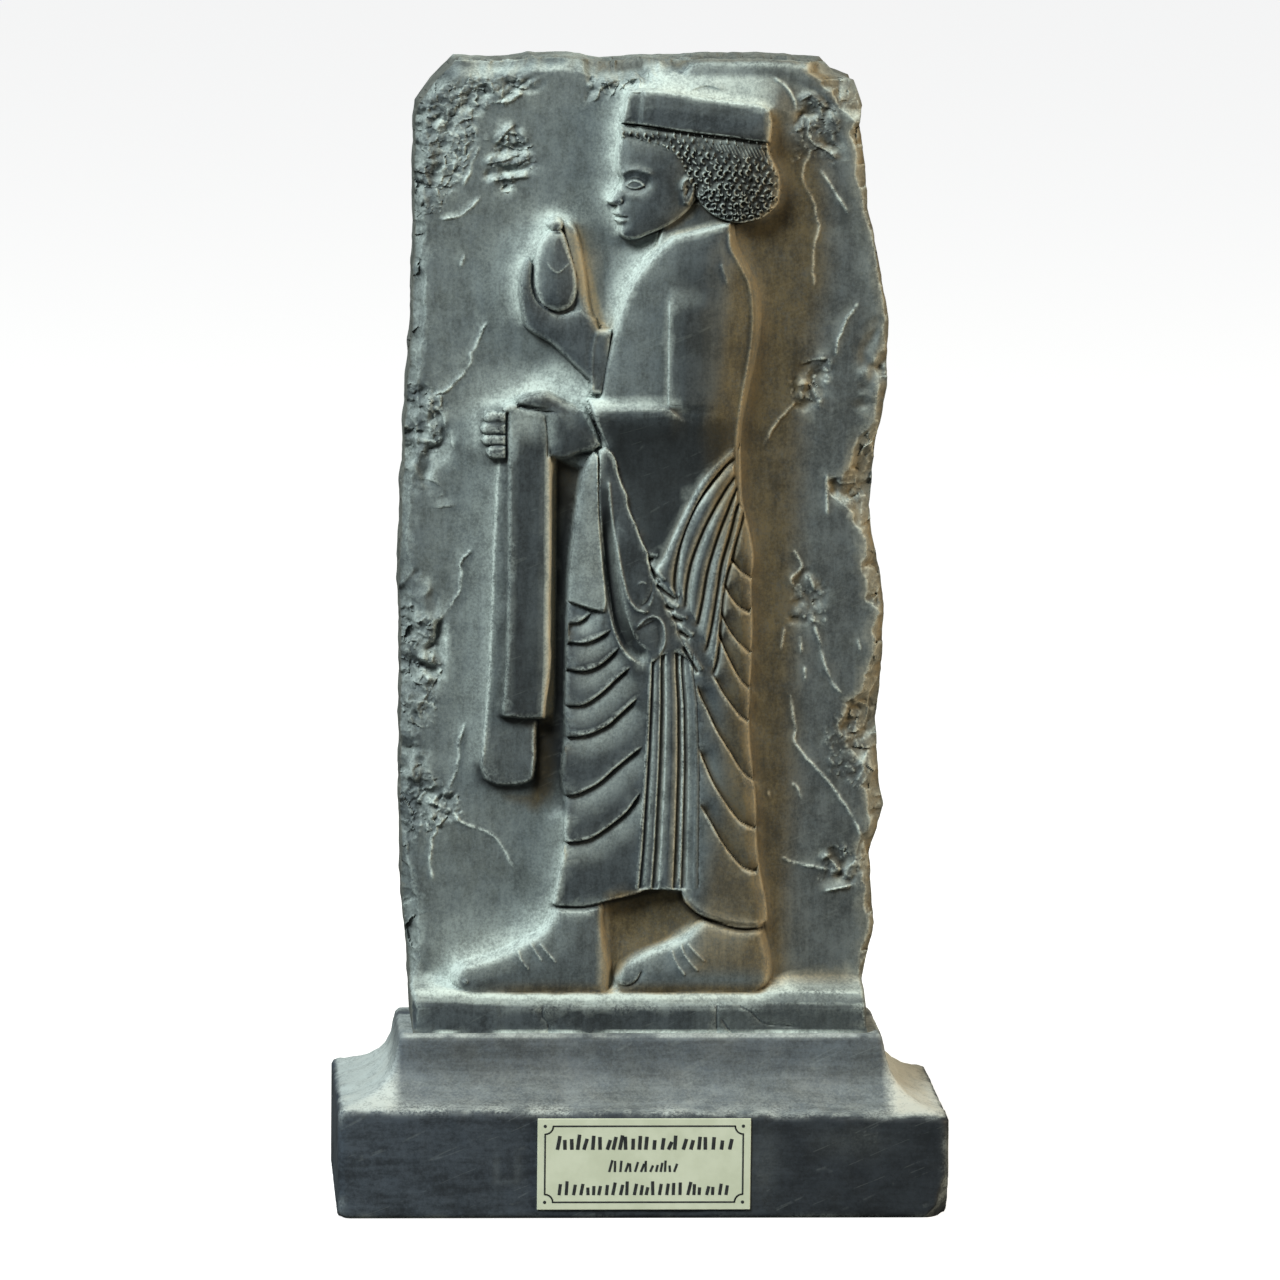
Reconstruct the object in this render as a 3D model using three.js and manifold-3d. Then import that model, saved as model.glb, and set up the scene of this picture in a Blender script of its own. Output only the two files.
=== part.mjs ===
// A table plaque in the Persian manner, cast in dark stone powder bound with resin: a rough slab
// with an attendant in low relief, facing left, who holds a bottle and a folded towel. The slab
// and its foot step are one casting, glued on a plinth with a hollow moulding on its four sides.
//
// Millimetres. x runs to the right as the front is seen, y runs away from the viewer, z is up,
// and the origin is under the middle of the plinth. Places on the carving are [x, z] pairs.

import * as THREE from 'three';
import { mergeVertices } from 'three/addons/utils/BufferGeometryUtils.js';
import Module from 'manifold-3d';

const wasm = await Module();
wasm.setup();

// Driving dimensions
const TOTAL_HEIGHT = 285.5;
const PLINTH_WIDTH = 152;
const PLINTH_DEPTH = 70;
const BLOCK_HEIGHT = 28;
const CAVETTO_HEIGHT = 15.5;
const CAVETTO_INSET = 16.5;
const STEP_WIDTH = 113.5;
const STEP_DEPTH = 33;
const STEP_HEIGHT = 7.5;
const LEDGE_RISE = 4;
const GROUND_Y = -9;
const BACK_Y = 14;
const PLATE_WIDTH = 53;
const PLATE_HEIGHT = 23;
const PLATE_THICKNESS = 0.6;
const PLATE_MIDDLE_Z = 14;

// Each layer of the carving: how far it stands proud of the slab's ground, and its rounded rim
const LAYERS = {
  underRobe: { proud: 3.6, rim: 0.8 },
  towelBack: { proud: 2.8, rim: 0.8 },
  towelFront: { proud: 5.2, rim: 0.8 },
  torso: { proud: 5, rim: 1.4 },
  sleeveLining: { proud: 5, rim: 0.8 },
  fold: { proud: 5, rim: 0.8 },
  sleeve: { proud: 5.8, rim: 1.2 },
  sleevePanel: { proud: 5.8, rim: 0.6 },
  sleeveEdge: { proud: 5.8, rim: 0.4 },
  pleat: { proud: 5.6, rim: 0.5 },
  panel: { proud: 4.6, rim: 0.4 },
  foot: { proud: 5, rim: 1.6 },
  hand: { proud: 5.4, rim: 1 },
  finger: { proud: 6, rim: 0.8 },
  cuff: { proud: 6, rim: 0.6 },
  bottle: { proud: 6.6, rim: 1.4 },
  stopper: { proud: 6.6, rim: 0.8 },
  neck: { proud: 3.8, rim: 0.8 },
  head: { proud: 5.2, rim: 0.8 },
  ear: { proud: 5.9, rim: 0.6 },
  feature: { proud: 5.9, rim: 0.3 },
  hair: { proud: 5.6, rim: 0.8 },
  headdress: { proud: 5.8, rim: 0.8 },
};
const EMBED = 2;

const PLINTH_TOP_Z = BLOCK_HEIGHT + CAVETTO_HEIGHT;
const STEP_TOP_Z = PLINTH_TOP_Z + STEP_HEIGHT;

// Solids

function solidOf(geometry) {
  geometry.deleteAttribute('normal');
  geometry.deleteAttribute('uv');
  const merged = mergeVertices(geometry, 1e-4);
  return new wasm.Manifold(new wasm.Mesh({
    numProp: 3,
    vertProperties: new Float32Array(merged.attributes.position.array),
    triVerts: new Uint32Array(merged.index.array),
  }));
}

function geometryOf(solid) {
  const mesh = solid.getMesh();
  const geometry = new THREE.BufferGeometry();
  geometry.setAttribute('position', new THREE.BufferAttribute(mesh.vertProperties, mesh.numProp));
  geometry.setIndex(new THREE.BufferAttribute(mesh.triVerts, 1));
  return geometry;
}

function joined(solids) {
  return solids.reduce((whole, solid) => whole.add(solid));
}

// Outlines

/** A smooth run through a few places, with some steps between each two. */
function smooth(places, steps = 2) {
  const curve = new THREE.SplineCurve(places.map(([x, z]) => new THREE.Vector2(x, z)));
  return curve.getPoints((places.length - 1) * steps).map((point) => [point.x, point.y]);
}

function shapeOf(outline) {
  return new THREE.Shape(outline.map(([x, z]) => new THREE.Vector2(x, z)));
}

/** An oval of a given width and height about its middle. */
function oval([x, z], width, height, sides = 12) {
  const outline = [];
  for (let side = 0; side < sides; side += 1) {
    const angle = (side / sides) * 2 * Math.PI;
    outline.push([x + (width / 2) * Math.cos(angle), z + (height / 2) * Math.sin(angle)]);
  }
  return outline;
}

/** A bar with round ends from one place to another. */
function bar([startX, startZ], [endX, endZ], width, endSteps = 3) {
  const along = Math.atan2(endZ - startZ, endX - startX);
  const outline = [];
  for (const [x, z, first] of [[endX, endZ, -Math.PI / 2], [startX, startZ, Math.PI / 2]]) {
    for (let step = 0; step <= endSteps; step += 1) {
      const angle = along + first + (step / endSteps) * Math.PI;
      outline.push([x + (width / 2) * Math.cos(angle), z + (width / 2) * Math.sin(angle)]);
    }
  }
  return outline;
}

/** Whether a place lies inside an outline, and at least a margin away from each of its corners. */
function inside([x, z], outline, margin) {
  let within = false;
  for (let corner = 0; corner < outline.length; corner += 1) {
    const [ax, az] = outline[corner];
    const [bx, bz] = outline[(corner + 1) % outline.length];
    if (Math.hypot(x - ax, z - az) < margin) return false;
    if ((az > z) !== (bz > z) && x < ((bx - ax) * (z - az)) / (bz - az) + ax) within = !within;
  }
  return within;
}

// Carving

/** One layer of the carving: an outline raised from the ground to its height, its rim rounded. */
function raised(outline, { proud, rim }) {
  const geometry = new THREE.ExtrudeGeometry(shapeOf(outline), {
    depth: EMBED + proud - 2 * rim,
    bevelEnabled: true,
    bevelThickness: rim,
    bevelSize: rim,
    bevelOffset: -rim,
    bevelSegments: 1,
  });
  geometry.rotateX(Math.PI / 2);
  geometry.translate(0, GROUND_Y + EMBED - rim, 0);
  return solidOf(geometry);
}

/** Folds that lie between neighbouring lines, each a rounded band with a valley on either side. */
function foldsBetween(lines, layer) {
  const folds = [];
  for (let band = 0; band + 1 < lines.length; band += 1) {
    const near = smooth(lines[band]);
    const far = smooth(lines[band + 1]).reverse();
    folds.push(raised([...near, ...far], layer));
  }
  return folds;
}

// The slab and its step

const SLAB_LEFT = [
  [-57, STEP_TOP_Z - 1], [-58.6, 66], [-60, 88], [-59.9, 120], [-60.5, 165], [-58.8, 200],
  [-57.2, 225], [-57, 262], [-56.8, 273], [-51, 281], [-48.3, TOTAL_HEIGHT],
];
const SLAB_RIGHT = [
  [43.3, TOTAL_HEIGHT], [46, 282.6], [51.3, 280.6], [53.2, 274.6], [52.6, 268], [54.9, 249.5],
  [59.8, 222], [60.1, 206], [57.2, 190], [56.7, 174], [60.1, 150], [58.9, 123], [60.6, 100],
  [57.7, 87], [58.8, 70], [56.4, STEP_TOP_Z - 1],
];

// The breaks that the casting copies from rough stone: the middle of each, as [x, y, z], and how
// far it reaches each way
const BREAKS = [
  { middle: [59, -11, 181], reach: [8, 9, 11] },
  { middle: [62, -11, 116], reach: [9, 10, 17] },
  { middle: [56, -10, 262], reach: [5, 9, 16] },
  { middle: [-60, -11, 256], reach: [8, 5, 13] },
  { middle: [-62, -11, 195], reach: [9, 5, 12] },
  { middle: [-62, -11, 144], reach: [10, 5, 24] },
  { middle: [-62, -11, 100], reach: [10, 5, 18] },
  { middle: [-38, -11, 285], reach: [12, 5, 7] },
  { middle: [-7, -11, 287], reach: [8, 5, 8] },
  { middle: [-35, -10, 262], reach: [6, 2, 9] },
  { middle: [41, -10, 206], reach: [3.5, 2, 6.5] },
  { middle: [41, -10, 152], reach: [4.5, 2, 7] },
];

function makeSlab() {
  const slab = new THREE.ExtrudeGeometry(shapeOf([...SLAB_LEFT, ...SLAB_RIGHT]), {
    depth: BACK_Y - GROUND_Y,
    bevelEnabled: false,
  });
  slab.rotateX(Math.PI / 2);
  slab.translate(0, BACK_Y, 0);
  const breaks = BREAKS.map(({ middle, reach }) => {
    const lump = new THREE.IcosahedronGeometry(1, 0);
    lump.scale(...reach);
    lump.translate(...middle);
    return solidOf(lump);
  });
  return breaks.reduce((rest, lump) => rest.subtract(lump), solidOf(slab));
}

/** The foot step, with the ledge that slopes up from its front edge to the slab's ground. */
function makeStep() {
  const half = STEP_DEPTH / 2;
  const edge = 1;
  const hollow = { depth: 2.5, rise: 1.4 };
  const section = [
    [-half, PLINTH_TOP_Z], [half, PLINTH_TOP_Z], [half, STEP_TOP_Z],
    [GROUND_Y + edge, STEP_TOP_Z + LEDGE_RISE], [GROUND_Y, STEP_TOP_Z + LEDGE_RISE],
    [GROUND_Y - hollow.depth, STEP_TOP_Z + hollow.rise],
    [edge - half, STEP_TOP_Z], [-half, STEP_TOP_Z - edge],
  ];
  const step = new THREE.ExtrudeGeometry(shapeOf(section), { depth: STEP_WIDTH, bevelEnabled: false });
  step.rotateX(Math.PI / 2);
  step.rotateZ(Math.PI / 2);
  step.translate(-STEP_WIDTH / 2, 0, 0);
  return solidOf(step);
}

// The feet

const FRONT_FOOT = [
  [-46.6, 54], ...smooth([[-47, 57], [-44.5, 60.6], [-33.4, 64.5], [-24, 71], [-21.8, 76]]),
  [-9, 77], ...smooth([[-9.8, 71], [-8.2, 64.5], [-7.8, 54]]),
];
const REAR_FOOT = [
  [-5, 54], ...smooth([[-6.4, 57.4], [-3.9, 60.8], [8.9, 66.7], [15, 71.5]]),
  [16, 73], [30, 71.5], ...smooth([[30.3, 69.8], [31.6, 62], [30.6, 54]]),
];

// The robe's front edge, its hem and its back edge, from the waist down the front and round
const ROBE = [
  ...smooth([[-17, 178], [-18.8, 160], [-19.4, 130], [-20.1, 108], [-19.2, 91], [-22, 75.2]]),
  ...smooth([[-17.9, 74.4], [-3.3, 77.3], [7.8, 78.2], [16.5, 71.7], [29, 69.9]]),
  ...smooth([[30.3, 75], [28, 89], [27.2, 106], [25.5, 124], [26.1, 145], [26.2, 165], [22.3, 191.4]]),
];
// Folds of the skirt in front: each line falls from the middle panel to the robe's front edge
const FRONT_FOLDS = [
  [[-18.9, 141.6], [-14.4, 141.4], [-9.2, 144]],
  [[-19.1, 134.6], [-13.4, 134.5], [-6.3, 139.7]],
  [[-19.2, 125.6], [-12, 127.4], [-3.2, 135]],
  [[-19.1, 117.6], [-12, 118.8], [0.2, 128]],
  [[-19.6, 103], [-11, 105.9], [0.2, 115]],
  [[-19, 91], [-11, 92.8], [-0.3, 102.6]],
  [[-21.6, 75.3], [-12, 75.2], [-1.4, 78]],
];
// Folds of the skirt behind: each line falls from the middle panel to the robe's back edge
const BACK_FOLDS = [
  [[18.6, 166.5], [21.6, 161.8], [25.8, 156.8]],
  [[18.4, 157.6], [21.4, 152.4], [25.6, 148.4]],
  [[18.2, 150], [21.2, 143.8], [25.6, 138.8]],
  [[17.6, 144], [21.2, 136.4], [25.5, 129.9]],
  [[17.2, 132.8], [20, 127.6], [25.3, 121.2]],
  [[13.4, 130], [19, 117.4], [27, 106.6]],
  [[13.8, 114.2], [19, 103], [27.4, 94.4]],
  [[13.8, 101], [19.5, 91.2], [28.3, 83.2]],
  [[12.4, 75.4], [18.5, 71.4], [29.2, 70.2]],
];
// The flat pleats that hang between the two: left and right edge, at the top and at the hem
const PANEL_TOP_Z = 137;
const PANEL_HEM_Z = 79.4;
const PANEL_BANDS = [
  { top: [0.6, 1.8], hem: [-1.2, -0.2] },
  { top: [2, 4], hem: [0.3, 2.8] },
  { top: [5, 9], hem: [4.2, 7.6] },
  { top: [9.5, 10.8], hem: [8.2, 10.4] },
  { top: [11.2, 13.9], hem: [12.2, 13.8] },
];
// Pleats gathered behind the sleeve, which fan out from the belt: the front and back edge of each
const BACK_PLEATS = [
  {
    front: [[22.2, 191.4], [13.7, 182.6], [6.2, 168], [1.2, 160.4]],
    back: [[22.1, 188], [14.8, 179.5], [9.4, 169], [5.6, 155]],
  },
  {
    front: [[22, 187], [16, 180], [10.6, 171], [6.6, 155.4]],
    back: [[22, 184.2], [18.4, 178], [13.6, 168], [9.6, 152]],
  },
  {
    front: [[22, 183.8], [19, 177.8], [14.4, 168], [10.3, 149.6]],
    back: [[22.6, 181], [20.6, 174.6], [17, 163], [13.6, 145.4]],
  },
  {
    front: [[22.9, 180.6], [21.2, 174], [17.8, 163], [14, 142.6]],
    back: [[23.8, 177], [23, 171], [19.2, 158], [16, 138.6]],
  },
];
// The tongues of the pleats' zigzag hem, below the hanging sleeve: where each starts and ends
const HEM_TONGUES = [
  [[5, 153.4], [8.8, 150.3]], [[6.6, 149.8], [10.4, 147.6]], [[8.2, 146.2], [12, 143.8]],
  [[9.4, 142], [14, 134.8]],
];
const TONGUE_WIDTH = 1.8;

function makeRobe() {
  const panel = PANEL_BANDS.map(({ top, hem }) => raised([
    [hem[0], PANEL_HEM_Z], [hem[1], PANEL_HEM_Z], [top[1], PANEL_TOP_Z], [top[0], PANEL_TOP_Z],
  ], LAYERS.panel));
  const pleats = BACK_PLEATS.map(({ front, back }) => raised(
    [...smooth(front), ...smooth(back).reverse()], LAYERS.pleat));
  const tongues = HEM_TONGUES.map(([start, end]) => raised(bar(start, end, TONGUE_WIDTH), LAYERS.pleat));
  return [
    raised(ROBE, LAYERS.underRobe),
    ...foldsBetween(FRONT_FOLDS, LAYERS.fold),
    ...foldsBetween(BACK_FOLDS, LAYERS.fold),
    ...panel, ...pleats, ...tongues,
  ];
}

// The wide sleeve that hangs from the lower arm, and the body and arm above it

const SLEEVE_FRONT_PANEL = [
  ...smooth([[-14.4, 188], [-16.6, 178.5], [-18.2, 163], [-18.7, 151.8]]),
  ...smooth([[-10, 149.2], [-10.4, 160], [-11.4, 178], [-11.6, 188]]),
];
const SLEEVE_EDGE = [
  ...smooth([[-11.9, 189], [-10.6, 166], [-8.7, 151], [-3, 136.6], [2, 136.4], [3.6, 139]]),
  ...smooth([[2.2, 138.2], [-2.4, 139], [-6.6, 151], [-9, 166], [-9.9, 189]]),
];
const SLEEVE_LINING = [
  ...smooth([[-7.4, 187], [-4.3, 177], [-6.2, 161], [-3.6, 151.8], [0.7, 149.2]]),
  ...smooth([[4.8, 151.6], [1.6, 160], [4.8, 164], [10, 176], [15, 185], [8, 192]]),
];
const SLEEVE_LOOP = [
  ...smooth([[-2.2, 144.8], [2, 148], [5, 143.2], [3.2, 138.2]]), [-1.5, 138.6],
];
const TORSO = [
  ...smooth([[2, 241], [-3.5, 235.6], [-8.9, 224.2], [-11.4, 207], [-13.4, 198], [-12, 189]]),
  ...smooth([[22.6, 190], [24.2, 208], [26.2, 224], [24, 233.4], [20, 241], [18.6, 247.4]]),
  [10, 249],
];
const UPPER_ARM = [
  ...smooth([[5.2, 228], [4.8, 214], [6.4, 202.4], [12, 198.6], [23, 199]]),
  ...smooth([[24.2, 210], [25.8, 224], [23.6, 233], [19.6, 240.2]]),
  ...smooth([[16, 243], [9.5, 239], [6, 232]]),
];
const FORE_ARM = [
  [-13.8, 201.6], [5.2, 202], ...smooth([[9, 199.8], [8.4, 194], [2, 190]]), [-11.4, 190.4],
];

function makeBodyAndSleeve() {
  return [
    raised(TORSO, LAYERS.torso),
    raised(SLEEVE_FRONT_PANEL, LAYERS.sleevePanel),
    raised(SLEEVE_EDGE, LAYERS.sleeveEdge),
    raised(SLEEVE_LINING, LAYERS.sleeveLining),
    raised(SLEEVE_LOOP, LAYERS.fold),
    raised(UPPER_ARM, LAYERS.sleeve),
    raised(FORE_ARM, LAYERS.sleeve),
  ];
}

// The hands, and the towel and bottle that they hold

const LOWER_HAND = [
  ...smooth([[-12, 190.2], [-16, 188.8], [-21.7, 187.3], [-34, 187]]), [-35, 199.4],
  ...smooth([[-30, 202.9], [-25, 203.8], [-21, 201.6], [-14, 201.4]]),
];
const FINGER_ROOT_X = -34;
const LOWER_FINGER_TIPS = [[-40.2, 197.6], [-40, 194.7], [-39.4, 191.9], [-38.2, 189.3]];
const LOWER_THUMB = [[-30.6, 201.8], [-22, 200.6]];
const RAISED_HAND = [
  ...smooth([[-14.2, 206.8], [-22.7, 214.6], [-30, 220.2], [-31.7, 229], [-30.8, 235.6], [-28, 238.4]]),
  ...smooth([[-20.4, 246.6], [-16.8, 241], [-14.8, 229.6], [-10.4, 220.6]]), [-11.6, 206],
];
const CUFF = [[-14, 204], ...smooth([[-14.2, 211], [-13.2, 219.2]]), [-10, 219.6], [-11.8, 204]];
const RAISED_FINGERS = [
  [[-30, 235], [-29, 224]], [[-16.8, 240], [-15.6, 228]], [[-18.6, 243.4], [-17.4, 240]],
];
const FINGER_WIDTH = 2.6;
const TOWEL_BACK = [
  [-36.6, 190], [-38, 150], [-39.4, 125], [-40.1, 106.8],
  ...smooth([[-38, 105.4], [-33, 104.9], [-27.4, 106.4]]), [-26.6, 122], [-26, 190],
];
const TOWEL_FRONT = [
  [-34.9, 199], [-34.6, 150], [-35.6, 122.4], [-24, 122.4], [-23, 150], [-22.8, 199],
];
const BOTTLE = [
  ...smooth([[-23.4, 244.2], [-26.8, 241.4], [-28.1, 233], [-26, 225.6], [-22.1, 224.1], [-18.6, 225.9]]),
  ...smooth([[-17.6, 231], [-19.8, 239.6], [-21.9, 244.2]]),
];
const STOPPER_MIDDLE = [-23.1, 245.6];
const STOPPER_WIDTH = 3.8;

function makeHands() {
  const lowerFingers = LOWER_FINGER_TIPS.map(([tipX, z]) => raised(
    bar([FINGER_ROOT_X, z], [tipX, z], FINGER_WIDTH), LAYERS.hand));
  const otherFingers = [LOWER_THUMB, ...RAISED_FINGERS].map(([start, end]) => raised(
    bar(start, end, FINGER_WIDTH), LAYERS.finger));
  return [
    raised(LOWER_HAND, LAYERS.hand), raised(RAISED_HAND, LAYERS.hand),
    ...lowerFingers, ...otherFingers, raised(CUFF, LAYERS.cuff),
  ];
}

function makeThingsHeld() {
  return [
    raised(TOWEL_BACK, LAYERS.towelBack),
    raised(TOWEL_FRONT, LAYERS.towelFront),
    raised(BOTTLE, LAYERS.bottle),
    raised(oval(STOPPER_MIDDLE, STOPPER_WIDTH, STOPPER_WIDTH), LAYERS.stopper),
  ];
}

// The head: the brow, the nose's foot and the chin part it into equal thirds below the hairline

const HAIRLINE_Z = 267;
const CHIN_Z = 242;
const FACE_X = -7.8;
const THIRD = (HAIRLINE_Z - CHIN_Z) / 3;
const BROW_Z = HAIRLINE_Z - THIRD;
const NOSE_FOOT_Z = BROW_Z - THIRD;
const LIPS_Z = NOSE_FOOT_Z - THIRD / 3;
const PROFILE = [
  [FACE_X + 0.2, HAIRLINE_Z + 1], [FACE_X, BROW_Z], [FACE_X + 0.9, BROW_Z - 1.8],
  [FACE_X - 2.2, NOSE_FOOT_Z + 1.4], [FACE_X - 0.2, NOSE_FOOT_Z], [FACE_X - 0.3, LIPS_Z + 0.7],
  [FACE_X + 0.5, LIPS_Z], [FACE_X, LIPS_Z - 0.9], [FACE_X + 0.8, LIPS_Z - 2.2],
  [FACE_X + 0.4, CHIN_Z + 1.4], [FACE_X + 2.2, CHIN_Z],
];
const JAW_AND_CROWN = [
  ...smooth([[0.6, CHIN_Z + 0.6], [6, CHIN_Z + 4.6], [12, CHIN_Z + 8]]), [12, HAIRLINE_Z + 2],
];
const EYE = oval([FACE_X + 4, BROW_Z - 2.6], 5, 2.2, 8);
const EYEBROW = bar([FACE_X + 1.6, BROW_Z - 0.4], [FACE_X + 8, BROW_Z - 0.2], 1);
const LIPS = bar([FACE_X + 0.8, LIPS_Z - 0.6], [FACE_X + 3.4, LIPS_Z - 0.4], 1.2);
const EAR = oval([8.6, (BROW_Z + NOSE_FOOT_Z) / 2], 3.2, 7, 10);
const NECK = [[-3.5, 235.6], [-1, 245], [12, 252], [19, 247], [8, 236]];
const HEADDRESS = [
  [-7.2, 270.7], [-5.4, 278.6], ...smooth([[1.8, 278.9], [13.4, 277.2], [26.8, 275.5], [29.6, 273.6]]),
  [29.4, 266], ...smooth([[15.2, 268], [5.2, 269.3], [-3, 270.6]]),
];
const HAIR = [
  [-7.4, 270.8], [-7, 267], ...smooth([[-0.6, 265.8], [5.8, 263], [8.6, 258.3], [10.8, 253.6]]),
  ...smooth([[13.5, 249.8], [22.2, 246.2], [30, 249.3], [32.2, 257], [29.4, 264]]), [29, 267.6],
];
const CURL_FIELD = { left: 10, right: 32, bottom: 248.6, top: 265 };
const CURL_PITCH = 3.1;
const CURL_RADIUS = 1.35;
const CURL_SUNK = 0.3;

/** The rows of snail curls on the hair, as low domes in a staggered pattern. */
function makeCurls() {
  const curls = [];
  const { left, right, bottom, top } = CURL_FIELD;
  for (let row = 0; bottom + row * CURL_PITCH < top; row += 1) {
    const z = bottom + row * CURL_PITCH;
    for (let x = left + (row % 2) * (CURL_PITCH / 2); x < right; x += CURL_PITCH) {
      if (inside([x, z], HAIR, CURL_RADIUS)) {
        const curl = new THREE.SphereGeometry(CURL_RADIUS, 6, 4);
        curl.translate(x, GROUND_Y - LAYERS.hair.proud + CURL_SUNK, z);
        curls.push(solidOf(curl));
      }
    }
  }
  return curls;
}

function makeHead() {
  const features = [EYE, EYEBROW, LIPS].map((outline) => raised(outline, LAYERS.feature));
  return [
    raised(NECK, LAYERS.neck), raised([...PROFILE, ...JAW_AND_CROWN], LAYERS.head), ...features,
    raised(EAR, LAYERS.ear), raised(HAIR, LAYERS.hair), raised(HEADDRESS, LAYERS.headdress),
    ...makeCurls(),
  ];
}

function makeReliefSlab() {
  return joined([
    makeSlab(), makeStep(), raised(FRONT_FOOT, LAYERS.foot), raised(REAR_FOOT, LAYERS.foot),
    ...makeRobe(), ...makeBodyAndSleeve(), ...makeThingsHeld(), ...makeHands(), ...makeHead(),
  ]);
}

// The plinth

const CAVETTO_SQUARENESS = 2.4;
const CAVETTO_STEPS = 10;
const LIP_HEIGHT = 3.5;
const LIP_INSET = 1.3;

/** The plinth's section: the block, then the hollow that rises on either side to the flat top. */
function plinthSection(halfWidth) {
  const hollowInset = CAVETTO_INSET - LIP_INSET;
  const half = [[halfWidth, 0], [halfWidth, BLOCK_HEIGHT]];
  for (let step = 1; step <= CAVETTO_STEPS; step += 1) {
    const rise = (CAVETTO_HEIGHT - LIP_HEIGHT) * (step / CAVETTO_STEPS) ** 2;
    const fall = (CAVETTO_HEIGHT - rise) / CAVETTO_HEIGHT;
    const inset = hollowInset * (1 - fall ** CAVETTO_SQUARENESS) ** (1 / CAVETTO_SQUARENESS);
    half.push([halfWidth - inset, BLOCK_HEIGHT + rise]);
  }
  half.push([halfWidth - CAVETTO_INSET, PLINTH_TOP_Z]);
  const mirrored = half.map(([offset, z]) => [-offset, z]).reverse();
  return [...half, ...mirrored];
}

/** The moulding runs round all four sides with mitred corners: one run crossed with the other. */
function makePlinth() {
  const alongY = new THREE.ExtrudeGeometry(shapeOf(plinthSection(PLINTH_WIDTH / 2)), {
    depth: PLINTH_DEPTH,
    bevelEnabled: false,
  });
  alongY.rotateX(Math.PI / 2);
  alongY.translate(0, PLINTH_DEPTH / 2, 0);
  const alongX = new THREE.ExtrudeGeometry(shapeOf(plinthSection(PLINTH_DEPTH / 2)), {
    depth: PLINTH_WIDTH,
    bevelEnabled: false,
  });
  alongX.rotateX(Math.PI / 2);
  alongX.rotateZ(Math.PI / 2);
  alongX.translate(-PLINTH_WIDTH / 2, 0, 0);
  return solidOf(alongY).intersect(solidOf(alongX));
}

// Materials and pieces

const SLATE = new THREE.MeshStandardMaterial({ color: 0x4b5154, roughness: 0.62, metalness: 0 });
const SLATE_PLINTH = new THREE.MeshStandardMaterial({ color: 0x555b5e, roughness: 0.6, metalness: 0 });
const PRINTED_PLATE = new THREE.MeshStandardMaterial({ color: 0xb9c4b4, roughness: 0.5, metalness: 0 });

const plaque = new THREE.Group();

function addPiece(name, geometry, material) {
  const piece = new THREE.Mesh(geometry, material);
  piece.name = name;
  plaque.add(piece);
  return piece;
}

addPiece('plinth', geometryOf(makePlinth()), SLATE_PLINTH);
addPiece('relief_slab', geometryOf(makeReliefSlab()), SLATE);

const plate = addPiece(
  'name_plate', new THREE.BoxGeometry(PLATE_WIDTH, PLATE_THICKNESS, PLATE_HEIGHT), PRINTED_PLATE);
plate.position.set(0, -PLINTH_DEPTH / 2 - PLATE_THICKNESS / 2, PLATE_MIDDLE_Z);

export default plaque;
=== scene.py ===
"""A cast stone plaque in the Persian manner: an attendant in low relief on a slab with a plinth."""

import math
from types import SimpleNamespace

import bmesh
import bpy
import numpy as np
from mathutils import Matrix, Quaternion, Vector


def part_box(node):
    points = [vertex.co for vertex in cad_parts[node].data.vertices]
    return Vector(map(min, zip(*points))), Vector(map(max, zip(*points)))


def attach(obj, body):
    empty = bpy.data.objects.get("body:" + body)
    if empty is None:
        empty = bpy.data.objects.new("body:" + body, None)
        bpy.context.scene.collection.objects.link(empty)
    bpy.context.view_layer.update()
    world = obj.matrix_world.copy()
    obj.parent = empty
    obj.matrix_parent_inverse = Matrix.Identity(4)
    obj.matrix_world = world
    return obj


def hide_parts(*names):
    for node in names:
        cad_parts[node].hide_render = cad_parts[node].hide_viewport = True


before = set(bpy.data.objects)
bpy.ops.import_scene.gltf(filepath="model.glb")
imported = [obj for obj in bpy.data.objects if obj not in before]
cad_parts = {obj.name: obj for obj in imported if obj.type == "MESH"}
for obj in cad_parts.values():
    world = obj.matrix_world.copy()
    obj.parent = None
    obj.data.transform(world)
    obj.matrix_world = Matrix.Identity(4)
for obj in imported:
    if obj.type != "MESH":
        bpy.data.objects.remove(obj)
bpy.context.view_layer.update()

MM = 0.001


# The plinth
#
# One casting in dark stone powder bound with resin: a plain block with a hollow moulding that rises
# on all four sides to the flat top that carries the slab. The mould had worn, so every edge is
# rounded, the block's top edge sags to the right and one lower corner is chipped.

plinth_low, plinth_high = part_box("plinth")
PLINTH_WIDTH = (plinth_high.x - plinth_low.x) / MM
PLINTH_DEPTH = (plinth_high.y - plinth_low.y) / MM
PLINTH_TOP = plinth_high.z / MM
BLOCK_TOP = 28.0
CORNER_RADIUS = 2.2
CELL_OF_PLINTH = 0.75
EDGE_SAG, SAG_REACH = 2.0, 5.0
WORN_EDGE_REACH, WORN_CORNER_REACH = 1.2, 2.5
# The section from the foot up: how far it stands in from the block's face, and its height
PLINTH_SECTION = (
    (1.4, 0.0), (0.4, 0.3), (0.0, 1.2), (0.0, 26.2), (0.35, 27.3), (1.3, 28.0), (3.4, 28.5), (6.8, 29.5),
    (9.5, 30.8), (11.8, 32.5), (13.3, 34.4), (14.5, 37.4), (15.1, 40.6), (15.6, 42.6), (16.4, 43.5),
)

random_tables = {}


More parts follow.
